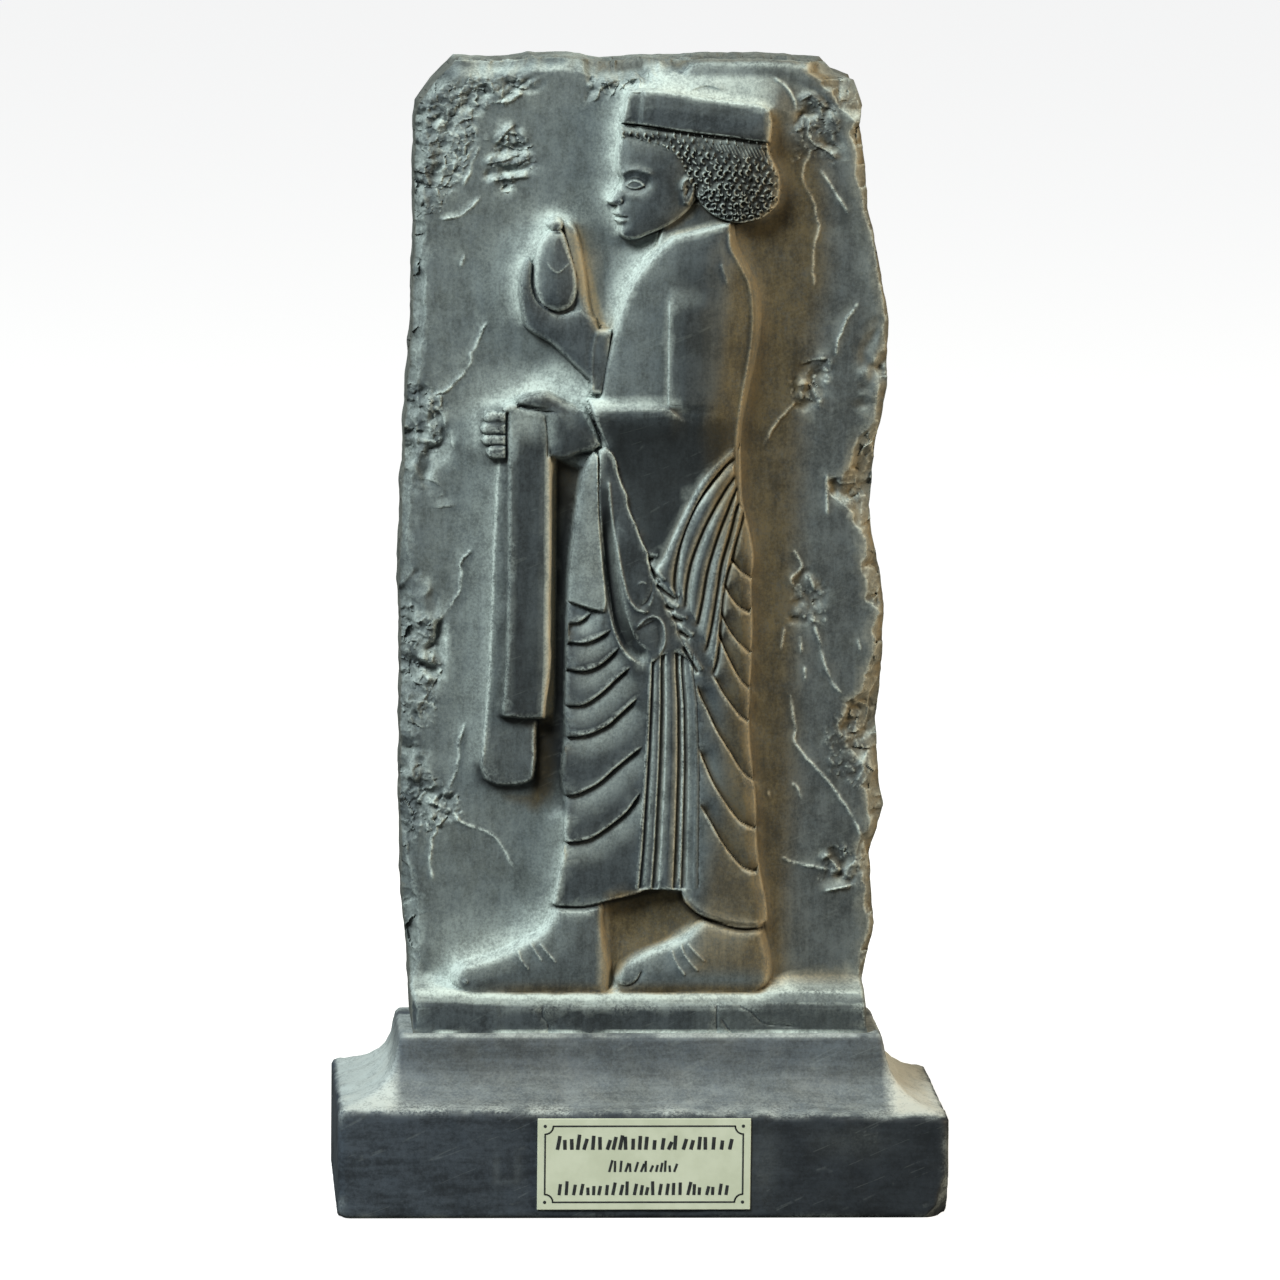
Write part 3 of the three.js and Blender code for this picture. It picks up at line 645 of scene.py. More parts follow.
def facets(x, z, size, seed):
    """Flat tilted facets with sharp steps between them, as on broken stone, from about -1 to 1."""
    nowhere = np.zeros_like(x)
    x = x + 0.5 * size * cloud(x, nowhere, z, size * 1.8, seed + 50)
    z = z + 0.5 * size * cloud(x, nowhere, z, size * 1.8, seed + 60)
    tables = np.random.default_rng(seed).uniform(-1, 1, (5, 64, 64))
    column, row = np.floor(x / size).astype(int), np.floor(z / size).astype(int)
    nearest = np.full(x.shape, np.inf)
    height = np.zeros(x.shape)
    for step_x in (-1, 0, 1):
        for step_z in (-1, 0, 1):
            place_x, place_z, tilt_x, tilt_z, level = tables[:, (column + step_x) % 64, (row + step_z) % 64]
            off_x = x / size - (column + step_x + 0.5 + 0.45 * place_x)
            off_z = z / size - (row + step_z + 0.5 + 0.45 * place_z)
            apart = off_x ** 2 + off_z ** 2
            closer = apart < nearest
            nearest = np.where(closer, apart, nearest)
            height = np.where(closer, 0.45 * level + 1.1 * (tilt_x * off_x + tilt_z * off_z), height)
    return height


def blurred(values, reach_cells):
    """The values with each replaced by the mean of its surroundings, three times over."""
    reach = max(1, int(round(reach_cells)))
    for _ in range(3):
        for axis in (0, 1):
            widths = [(0, 0), (0, 0)]
            widths[axis] = (reach + 1, reach)
            sums = np.cumsum(np.pad(values, widths, mode="edge"), axis=axis)
            high = np.take(sums, range(2 * reach + 1, sums.shape[axis]), axis=axis)
            low = np.take(sums, range(0, sums.shape[axis] - 2 * reach - 1), axis=axis)
            values = (high - low) / (2 * reach + 1)
    return values


# Feet, with the sandals' laces
FRONT_FOOT = outline_of(
    [(-43, 51.6), (-46.2, 53.6), (-47.4, 56), (-46.4, 59), (-44, 60.7), (-39, 62.2), (-33.4, 64.4),
     (-29.4, 66.6), (-25.6, 68.8), (-23.2, 72.2), (-21.8, 76)],
    [(-9.2, 77), (-9.6, 71.5), (-8.6, 66.5), (-7.4, 61), (-7.2, 56), (-7.6, 51.6)])
REAR_FOOT = outline_of(
    [(-4.8, 51.6), (-6.4, 56), (-5.8, 59.2), (-3.6, 61.6), (1, 63.9), (6.2, 65.8), (11, 68), (15.4, 72)],
    [(30.4, 71.5), (31, 68), (32.4, 62.5), (32.6, 57.5), (31.4, 54), (29, 51.6)])
LACES = (
    ((-30.8, 64), (-30, 61.6), (-28.1, 59.2)), ((-27.6, 65.7), (-26.6, 64), (-24.8, 61.3)),
    ((-25.3, 65.7), (-23.6, 63.6), (-21.3, 61)), ((7.6, 64), (8.7, 61), (11, 57.7)),
    ((9.9, 65.3), (11, 62.6), (14.3, 58.8)), ((11.6, 65.7), (13.6, 63.5), (16, 61.2)),
)

# The dark lines where the robe's hem lies over the ankles
ROBE_HEMS = (((-22, 74.8), (-14.6, 74.7), (-8.6, 75.8), (-1.6, 77.4), (4, 78.4)),
             ((9.8, 77.6), (10.8, 75.2), (14.2, 72.4), (19.2, 70.5), (24.9, 69.2), (30.6, 69.4)))

# The robe: its front edge, hem and back edge
ROBE_BACK = ((31.8, 71), (31.4, 76), (30, 83), (29, 90), (28.6, 100), (28, 107), (26.9, 116), (26.6, 124),
             (26.9, 132), (27.2, 145), (26.8, 155), (27.2, 163), (26, 170), (24.2, 178), (23.6, 191.4))
ROBE = outline_of(
    [(-17.4, 178), (-18.9, 162), (-19.3, 150), (-19.7, 130), (-19.4, 117.4)],
    [(-19.8, 115.5), (-20.6, 110), (-20.3, 106), (-19.5, 102.7)],
    [(-19.4, 100), (-19.7, 94), (-19.4, 91)],
    [(-20.3, 87), (-21.2, 82), (-22.4, 75.4)],
    [(-20.3, 74.7), (-14.6, 74.8), (-8.6, 76), (-1.6, 77.7), (2, 79), (9.8, 78.6)],
    [(10.8, 75.6), (14.2, 72.8), (19.2, 70.9), (24.9, 69.6), (29.4, 69.7)],
    ROBE_BACK,
    [(17, 182), (10, 171), (5.4, 160), (0, 157), (-5, 160), (-9, 172), (-12, 184)])
# Folds in front, from the robe's front edge up to the middle panel
FRONT_FOLDS = (
    ((-18.9, 152), (-16, 150.9), (-13.4, 149.7), (-9.6, 149.2)),
    ((-18.9, 146), (-16.4, 146.3), (-14.7, 147.3), (-12.6, 149)),
    ((-19, 141.4), (-15.4, 141.1), (-12.7, 141.8), (-10, 143.3), (-7.8, 144.8)),
    ((-19.3, 134.7), (-16.7, 134.2), (-14.4, 134.2), (-12, 135), (-9.7, 136.5), (-7.7, 138.4),
     (-5.8, 140.4)),
    ((-19.4, 125.5), (-15.8, 125.5), (-13.5, 126.4), (-11.1, 128.1), (-8.8, 130.1), (-6.8, 132.1),
     (-3, 135.4)),
    ((-19.4, 117.5), (-15.7, 117.8), (-13.4, 118.3), (-10.7, 119.5), (-8.4, 120.8), (-6.4, 122.7),
     (-1.2, 127.6)),
    ((-19.5, 102.9), (-17, 103), (-15, 103.7), (-10.9, 106), (-6.9, 109.6), (-2.6, 113.2), (0.2, 115.4)),
    ((-19.3, 91), (-15.4, 91.3), (-12.4, 92.2), (-8, 95.2), (-3.7, 98.9), (-0.3, 103.8)),
)
# Folds behind, from the middle panel down to the robe's back edge
BACK_FOLDS = (
    ((20.4, 163.4), (22.8, 160.8), (24.5, 159), (26.6, 157.4)),
    ((19.6, 156.6), (21.2, 153.7), (23, 151.2), (24.7, 149.7), (26.4, 149)),
    ((18.9, 149.4), (20.7, 145.8), (22.3, 143.3), (24, 141.2), (26.6, 138.6)),
    ((18.2, 144.6), (19.9, 140.6), (21.4, 137.4), (23.1, 134.1), (24.8, 131.4), (26.4, 129.8)),
    ((17.2, 133.6), (18.7, 131.2), (20.1, 128.7), (22.1, 125.9), (24.2, 123.2), (26.2, 121.4)),
    ((13.3, 131), (14.4, 127.9), (15.8, 125.2), (18.5, 119.5), (22.1, 113.7), (25.1, 108.9), (28, 106.4)),
    ((14, 115), (15.3, 111.8), (17.7, 106.4), (20.7, 101.5), (24.1, 96.9), (26.2, 95.4), (28.4, 94.4)),
    ((14.3, 101), (16.8, 97.2), (20.5, 90.7), (24.4, 85.8), (26.3, 84.3), (28.9, 83.6)),
)
# The middle panel: heights and its two edges there, and its pleats, as shares of its width from the
# left and how deep each place lies
PANEL_TOP, PANEL_HEM = 137.0, 79.5
PANEL_LEFT = ((80, -1.2), (90, -0.4), (105, 0.4), (115, 0.9), (133, 1.5), (138, 1.6))
PANEL_RIGHT = ((76, 13.9), (110, 13.9), (126, 13.2), (134, 12.2), (138, 12))
PANEL_PROFILE = (
    (-0.03, 0.0), (0.02, 0.0), (0.05, 1.0), (0.085, 1.0), (0.12, 0.35), (0.2, 0.2), (0.235, 0.05),
    (0.26, 1.1), (0.33, 1.1), (0.36, 0.15), (0.48, 0.0), (0.585, 0.15), (0.61, 1.2), (0.66, 1.2),
    (0.69, 0.4), (0.72, 0.4), (0.74, 1.1), (0.79, 1.1), (0.82, 0.5), (0.91, 0.4), (0.94, 0.1), (0.985, 0.1),
    (1.03, 0.5),
)
# The gathered pleats behind the sleeve, each between its front edge and its back edge
GATHERED_PLEATS = (
    ([(22.4, 191.4), (19, 188.6), (13.7, 182.6), (9.8, 175.6), (6.5, 168.5), (4.3, 163.1), (2.2, 159.4),
      (4.6, 156.2)],
     [(8.6, 151.2), (7.6, 156.5), (8.4, 163), (10.6, 170), (14.2, 178), (18.6, 184.2), (22.2, 188)]),
    ([(22.3, 187.2), (18.2, 183.7), (15.5, 180.3), (12.5, 176), (9.8, 170), (8.2, 164), (7.8, 157),
      (8.8, 153)],
     [(10.3, 149.4), (10.6, 155.4), (11.8, 162), (14.6, 169.6), (18, 176.4), (22.3, 183.6)]),
    ([(22.4, 183.6), (18.6, 177.4), (15.2, 170.6), (12.2, 162.6), (10.8, 155), (10.6, 149.6)],
     [(13.2, 145), (14.6, 152), (15.9, 160), (18.4, 168.6), (20.8, 175), (22.8, 181)]),
    ([(22.9, 181), (21, 175.6), (18.8, 168.5), (16.3, 160.4), (14.9, 152), (13.6, 144.6)],
     [(15.4, 138.4), (16.9, 145.4), (18.2, 154), (19.3, 161.4), (21.4, 169), (23.2, 177)]),
    ([(23.2, 177), (21.6, 169.4), (19.6, 161.6), (18.6, 153), (17.2, 142), (16, 137.6)],
     [(17.2, 132.8), (18.6, 138), (19.2, 146), (20.2, 156), (22.2, 164), (23.8, 171), (24.6, 175)]),
)
# The pleats' zigzag hem: where each tongue starts and ends
HEM_TONGUES = (
    ((0.4, 164.2), (1.8, 163.6), (3.2, 163.2)), ((1.2, 161.6), (3, 159.6), (4.8, 157.2)),
    ((2.6, 157.4), (5.8, 155.3), (8.6, 153.2)), ((4.9, 152.4), (6.6, 151.4), (8.4, 150.6)),
    ((6.6, 149.6), (8.6, 148.5), (10.6, 147.8)), ((8.3, 145.8), (10.2, 145), (12.2, 143.5)),
    ((9.6, 142), (11.8, 139), (14.4, 134.8)),
)

# The wide sleeve that hangs from the lower arm
SLEEVE_FRONT = outline_of(
    [(-13, 189.4), (-14.7, 186.5), (-16.2, 181.8), (-17.2, 174), (-17.9, 167), (-18.9, 159),
     (-19.1, 151.6)],
    [(-10, 149), (-9.4, 152), (-10.2, 160), (-11.2, 170), (-11.6, 178), (-11.8, 188.5)])
SLEEVE_MIDDLE = outline_of(
    [(-11.8, 189.6), (-11.8, 178), (-11.1, 168), (-9.8, 158), (-8.8, 151), (-7.8, 145.2), (-5.6, 140),
     (-3, 136.8), (0, 135.8), (2.6, 136.6)],
    [(4.6, 138.2), (8, 138.7), (10.6, 137.2), (13, 134.4)],
    [(12, 139), (9, 143), (8, 147), (6, 151), (3.4, 156), (1.4, 161), (0.9, 164.2)],
    [(-0.4, 166.6), (-1.4, 169), (-2, 170.8), (-3.2, 173.4), (-4.2, 176), (-4.4, 178.4), (-5.6, 181),
     (-6.7, 184.2), (-7.2, 187), (-8.4, 189.2), (-10, 190.6)])
SLEEVE_TROUGH = ((-9.9, 176), (-9.4, 166), (-8.6, 158), (-7.4, 150.4), (-5.8, 144.6), (-3.4, 140),
                 (-0.4, 137.6), (2, 137.4))

# The body and the arms
TORSO = outline_of(
    [(5.6, 243.4), (1, 239), (-3, 234.2), (-6, 228.6), (-8, 222.6), (-9.4, 217), (-10.7, 211.6),
     (-11.8, 205), (-12.2, 201)],
    [(-11.5, 190.4), (-10, 160), (12, 134)],
    [(25.4, 150), (25.8, 164), (24, 176), (23.3, 190.4)],
    [(23.7, 196), (24.6, 201), (25.8, 207), (27, 213), (28, 219), (28.2, 224), (27.6, 228.6), (26.4, 232.6),
     (24.6, 236), (22.8, 239.2), (21.6, 242.6), (21, 247.4)])
FORE_ARM = outline_of(
    [(-14.8, 202.4), (2, 203.4), (6, 203), (9, 200.8), (20, 198.6)],
    [(19, 182), (8, 180), (-4, 180), (-9.8, 190.4), (-12.2, 195.4), (-14, 200.4)])
CUFF = outline_of([(-13.9, 203.4), (-14.2, 209.2), (-13.8, 215), (-12.6, 219.8)],
                  [(-8.6, 219.8), (-9.6, 211), (-11, 203.4)])

# The raised hand and its bottle
RAISED_ARM = outline_of(
    [(-13.2, 205.6), (-15.2, 207.6), (-20, 212.2), (-24.2, 216), (-28.4, 218.4), (-30.4, 220.4),
     (-31.4, 224.4), (-31.9, 229.2), (-31.6, 233.2), (-30.6, 236.4), (-29.4, 237.4)],
    [(-28.3, 236.2), (-28.4, 231), (-27.2, 227.2), (-24.6, 225), (-21.7, 223.4), (-18.6, 224.4),
     (-16.4, 225)],
    [(-12.4, 222.2), (-11.6, 218), (-12.6, 212)])
FAR_FINGERS = outline_of(
    [(-21.6, 246), (-19.4, 246.4), (-17.4, 244), (-16, 238.6), (-14.9, 232), (-14, 226), (-12.6, 222.4),
     (-10.8, 220)],
    [(-16, 219), (-18.6, 224), (-18.2, 231), (-19.8, 239)])
BOTTLE = outline_of(
    [(-23.4, 244.6), (-25.4, 243.4), (-27, 241.4), (-27.9, 238.4), (-28.3, 233), (-27.9, 229),
     (-26.3, 225.6), (-24.1, 224.2), (-22, 223.8), (-19.9, 224.4), (-18.2, 226), (-17.3, 229.4),
     (-17.6, 233.6), (-19, 238.4), (-20.4, 242.8), (-21.6, 244.6)])
STOPPER = outline_of([(-25.2, 245.6), (-24.3, 247), (-22.6, 247.4), (-21.1, 246.4), (-21, 244.9),
                      (-22, 243.8), (-24.2, 243.9)])
# The hollow of the hand, close under the bottle
PALM = outline_of([(-29.3, 236), (-29.4, 230), (-28, 225.8), (-25, 223.2), (-21.7, 222), (-18, 223)],
                  [(-16.6, 228), (-22, 240)])
BOTTLE_SCRATCH = ((-25.3, 236.7), (-23.8, 234.6), (-22.3, 233.9), (-21.1, 234.6), (-19.4, 236.4))

# The lower hand and the folded towel
LOWER_HAND = outline_of(
    [(-27, 203), (-25, 203.9), (-23, 203.2), (-20, 201.9), (-15, 200.4)],
    [(-13.4, 197.9), (-12.2, 195.2), (-11.2, 192.5), (-10.6, 190.6)],
    [(-13, 188.9), (-16.3, 188.4), (-19.7, 187), (-22.6, 187.2), (-24.4, 188)],
    [(-25, 193), (-26, 198)])
THUMB = outline_of(
    [(-31.9, 200.7), (-32.3, 202), (-30.4, 203.3), (-27.7, 204), (-25, 204.2), (-23, 203.4), (-20, 202)],
    [(-17, 199.6), (-20, 198.6), (-24, 199.2), (-28, 199.9)])
THUMB_LINE = ((-32, 200.3), (-28, 199.7), (-24.6, 199.2), (-21, 199.4))
KNUCKLE = outline_of([(-36, 199.6), (-35.2, 200.8), (-32.8, 201.4), (-31.6, 200.6), (-32.6, 199),
                      (-35, 198.7)])
FINGER_ROOT_X = -34.4
# Each finger's tip and how tall the finger is there
FINGERS = ((-40.6, 197.6, 3.1), (-41.2, 194.8, 3.1), (-41.0, 192, 3.0), (-39.8, 189, 3.6))
TOWEL_BACK = outline_of(
    [(-37, 188), (-37.9, 165), (-38.3, 150), (-38.8, 135), (-39.6, 122), (-40.6, 109.4)],
    [(-39.4, 106.6), (-37, 105.2), (-33, 104.9), (-29.3, 105.4), (-27, 106.6)],
    [(-26.4, 112), (-26.2, 124), (-24, 188)])
TOWEL_FRONT = outline_of(
    [(-34.6, 200.6), (-34.4, 165), (-34.5, 150), (-34.8, 135), (-35.6, 125), (-35.6, 122.4)],
    [(-30, 121.8), (-24.4, 122)],
    [(-22.9, 135), (-23, 150), (-22.9, 165), (-23.4, 200.6)])

# The head. Its face is a plain one by the draughtsman's rule: brow, nose foot and chin part it into
# equal thirds below the hairline, the mouth lies a third of the way down the last of them, the eye
# is a fifth of the head's depth long, and the ear reaches from the brow to the foot of the nose.
HAIRLINE, CHIN = 267.0, 242.0
FACE_FRONT = -7.8
THIRD = (HAIRLINE - CHIN) / 3
BROW = HAIRLINE - THIRD
NOSE_FOOT = BROW - THIRD
MOUTH = NOSE_FOOT - THIRD / 3


def offset(middle, *steps):
    """Places given by their steps from a middle."""
    return [(middle[0] + step_x, middle[1] + step_z) for step_x, step_z in steps]


FACE = outline_of(
    offset((FACE_FRONT, HAIRLINE), (0.6, 2), (-0.3, -2.4), (-0.5, -5.4))
    + offset((FACE_FRONT, BROW), (-0.3, 0.4), (0.8, -1.9), (0.4, -3.4))
    + offset((FACE_FRONT, NOSE_FOOT), (-1.5, 2.2), (-2.4, 1.1), (-1.9, 0.3), (-0.3, -0.1), (-0.4, -1))
    + offset((FACE_FRONT, MOUTH), (-0.9, 0.8)),
    offset((FACE_FRONT, MOUTH), (0.1, 0), (-0.5, -0.8), (0.5, -2.1), (0.4, -3.2))
    + offset((FACE_FRONT, CHIN), (0.8, 0.9), (2.6, -0.2), (5.4, 0))
    + offset((0, CHIN), (-0.4, 0.9), (5, 3.2), (9.6, 6.6), (12, 10)),
    [(12, HAIRLINE + 2)])
EYE_MIDDLE = (FACE_FRONT + 4.3, BROW - 2.9)
EYE_LENGTH, EYE_HEIGHT = 4.6, 1.9
EAR_MIDDLE_X = 9.0
NECK = outline_of([(1.8, 237), (2.2, 241), (3.4, 246)], [(12, 252), (19.4, 248), (20.6, 243), (12, 236)])
HEADDRESS = outline_of(
    [(-7.2, 270.6), (-5.6, 278.6)],
    [(-5.2, 278.9), (1.8, 279.2), (9.8, 278), (18.5, 276.8), (26.8, 275.8), (29.8, 274.2)],
    [(30.4, 271), (30, 266)],
    [(25.2, 266.4), (20.2, 267.2), (9.9, 268.4), (-0.5, 270), (-6.6, 270.6)])
HAIR = outline_of(
    [(-7.6, 270.8), (-7.2, 267)],
    [(-3.7, 266.7), (-0.6, 265.8), (3.4, 264.5), (5.8, 263.3), (7.2, 261.7), (8.2, 260), (9, 257.6),
     (10.6, 254)],
    [(12.1, 251.8), (13.5, 249.8), (15.2, 248.4), (18, 247), (22.2, 246), (26, 246.6), (28.4, 247.4),
     (30.4, 249), (32.1, 251), (32.6, 254.6), (32.4, 258), (31.2, 261), (30, 263.4), (29.4, 266)],
    [(28.8, 268)])
CURL_PITCH, CURL_RADIUS, CURL_HEIGHT = 1.8, 0.62, 0.8
CURL_ROW_PITCH = CURL_PITCH * 0.87
CURL_THICKNESS, CURL_REACH = 0.24, 1.4
CURLS_LEFT, CURLS_LOW, CURLS_WIDTH, CURLS_HEIGHT = -8, 246, 42, 24
HATCHED_HAIR = outline_of([(13, 266.6), (29.2, 265)],
                          [(29.6, 262.2), (24, 262.4), (19, 263.4), (14.4, 265)])
HATCH_PITCH = 0.85


# The step's ledge: places across, and there the heights where it starts above the step's upright
# front and where it meets the soles
LEDGE_STARTS = (
    (-57, 51.8), (-45, 51.6), (-40, 51.2), (-30, 50.8), (0, 50.5), (27, 51), (36, 51.4), (42, 51.2),
    (57, 51),
)
LEDGE_ENDS = (
    (-57, 53.8), (-50, 53.8), (-46.4, 53.4), (-43, 53.1), (-37, 53), (28, 53), (32, 53.3), (37, 53.6),
    (57, 53.4),
)
ledge_low = read_off(LEDGE_STARTS, grid_x) + 0.2 * cloud(grid_x, 0 * grid_x, 0 * grid_x, 4, 4)
ledge_high = read_off(LEDGE_ENDS, grid_x) + 0.15 * cloud(grid_x, 0 * grid_x, 0 * grid_x, 5, 3)


def carve_step():
    """The foot step: its upright front, and the ledge that slopes up from it to the ground."""
    front_level = GROUND_Y - STEP_FRONT_Y
    edge_level, foot_level = 0.86 * front_level, 5.4
    share = (grid_z - ledge_low) / (ledge_high - ledge_low)
    slope = edge_level + (foot_level - edge_level) * np.clip(share, 0, 1)
    fillet = foot_level * np.clip(1 - (grid_z - ledge_high) / 3.4, 0, 1) ** 1.3
    rounding = np.clip((ledge_low - grid_z) / (ledge_low - 49.4), 0, 1) ** 0.5
    face = edge_level + (front_level - edge_level) * rounding
    return np.where(grid_z < ledge_low, face, np.where(share > 1, fillet, slope))


def robe_height(x, z):
    """Level in front, rounding down over the last few millimetres to the back edge."""
    back_x, back_z = np.array(ROBE_BACK).T
    from_back = np.interp(z, back_z, back_x) - x
    return 4.7 - 1.7 * (1 - eased((from_back + 0.8) / 4.2))


def carve_robe():
    raise_form(ROBE, robe_height, slope=1.0)
    for fold in FRONT_FOLDS:
        cut_line(fold, 1.5, left=0.5, right=6.5, start=0.01, end=3.0, power=1.9)
        cut_line(fold, 0.3, left=0.4, right=0.4, start=0.01, end=1.0)
    for fold in BACK_FOLDS:
        cut_line(fold, 1.5, left=4.6, right=0.45, start=3.0, end=0.01, power=1.9)
        cut_line(fold, 0.3, left=0.5, right=0.4, start=1.0, end=0.01)
    panel_left, panel_right = read_off(PANEL_LEFT, grid_z), read_off(PANEL_RIGHT, grid_z)
    share = (grid_x - panel_left) / (panel_right - panel_left)
    depth = read_off(PANEL_PROFILE, share)
    in_panel = (share > -0.03) & (share < 1.03) & (grid_z > PANEL_HEM) & (grid_z < PANEL_TOP + 2)
    proud[in_panel] = (4.9 - depth)[in_panel]
    for front, back in GATHERED_PLEATS:
        raise_form(outline_of(front, back), 4.5, slope=1.5, crown=1.0, crown_reach=1.0)
        cut_line(back, 0.9, left=1.1, right=0.7, start=1.5, end=1.5)


def carve_hem():
    """The zigzag hem of the gathered pleats: slanting tongues with a dark gap under each."""
    for start, middle, end in HEM_TONGUES:
        below = offset(start, (0.1, -1.1)) + offset(middle, (-0.5, -1.2)) + offset(end, (-0.8, -0.9))
        cut_line(below, 1.3, left=0.5, right=0.9, start=1.2, end=0.4)
        raise_line((start, middle, end), 0.45, width=1.1, start=1.2, end=0.2)


def front_drape_height(x, z):
    """The drape under the wrist leans toward its front edge."""
    height = np.interp(x, (-19.5, -15, -10), (4.7, 5.3, 5.6))
    return height * np.interp(z, (150, 156, 186, 190), (0.98, 1, 1, 0.92))


def carve_sleeve():
    raise_form(SLEEVE_MIDDLE, 4.9, slope=0.9, crown=0.3, crown_reach=2)
    cut_line(SLEEVE_TROUGH, 2.0, left=2.6, right=1.6, start=9, end=3.5, power=0.8)
    raise_form(SLEEVE_FRONT, front_drape_height, slope=0.8, crown=0.2, crown_reach=2)
    raise_line([(-12, 188.6), (-11.6, 178), (-11, 170), (-9.9, 160), (-9, 154), (-8.3, 149), (-7.5, 144.6),
                (-5.4, 139.8), (-3, 136.9)], 0.3, width=0.7)
    raise_line([(-9.3, 182), (-8.4, 173.3), (-7.3, 166.7), (-6.2, 161), (-5.4, 157.4), (-4.5, 153.8),
                (-3.4, 151.5), (-1.9, 150), (-0.4, 149.4), (1, 149.4)], 0.55, width=0.8)
    cut_line([(-1.6, 150.6), (0.4, 151.6), (1.8, 154.4), (1.6, 157)], 0.3, left=0.4, right=1.2)
    raise_line([(0.8, 150.6), (1.8, 152.4), (2.1, 154.4)], 0.25, width=0.6)
    cut_line([(-2.3, 144.4), (0.8, 146.2), (2.9, 147), (4, 145.4), (4.3, 142.6), (3.6, 139.4)],
             0.35, left=0.4, right=1.6)
    raise_line([(-2.1, 145.2), (-0.4, 147.1), (1.4, 148.1), (3.2, 148), (4.6, 146.3), (5.1, 143.6),
                (4.9, 141), (3.6, 138.4)], 0.4, width=0.65)
    raise_line([(-2.1, 156.1), (-0.9, 156.8), (0.6, 156.3)], 0.25, width=0.6)


def hollow_under_arm(x, z, height):
    """The height above the arm's lower edge, sinking below it into the smooth hollow over the pleats."""
    depth = np.interp(x, (-12, -4, 12, 20, 26), (2.8, 2.8, 3.1, 3.7, 3.6))
    return depth + (height - depth) * np.clip(1 - (198.6 - z) / 17, 0, 1) ** 1.5


def body_height(x, z):
    """The chest leans back to its front edge, the upper arm stands above it and rounds away behind."""
    chest = np.interp(x, (-12, -6, 2, 9, 14, 18, 22, 26), (4.3, 4.9, 5.2, 5.4, 5.4, 5.0, 4.4, 3.8))
    upper_arm = 0.9 * rising(x, 4.7, 0.6) * falling(x, 8, 14) * rising(z, 199, 3) * falling(z, 224, 7)
    return hollow_under_arm(x, z, chest + upper_arm)


def fore_arm_height(x, z):
    """A bar with a sharp upper edge, which runs out at the elbow."""
    edge = np.interp(x, (-16, -12, 2, 5.4, 8, 12), (201.8, 202.3, 202.8, 202.6, 200.4, 198.4))
    crest = np.interp(x, (-16, 0, 6, 13, 20), (6.5, 6.9, 6.9, 6.0, 4.6))
    return hollow_under_arm(x, z, 4.6 + (crest - 4.6) * np.clip((edge - z) / 2.6, 0, 1) ** 0.9)


def carve_body():
    raise_form(TORSO, body_height, slope=3.0, crown=0.8, crown_reach=3.5)
    raise_form(FORE_ARM, fore_arm_height, slope=1.0)
    raise_line([(19.9, 244), (20.3, 240), (22, 237), (23.6, 234), (25, 231), (25.9, 226), (26, 219),
                (24.8, 210), (23.4, 201), (22.6, 191.4), (23.2, 180), (24.1, 175.3), (26.2, 166),
                (26, 158)], 0.5, width=0.9)
    raise_line([(18, 236.6), (18.8, 234), (19.7, 231)], 0.3, width=0.9)


def thumb_height(x, z):
    """The thumb sinks into the back of the hand at its root."""
    return np.interp(x, (-30, -26, -19), (5.0, 4.9, 3.4)) + 0 * z


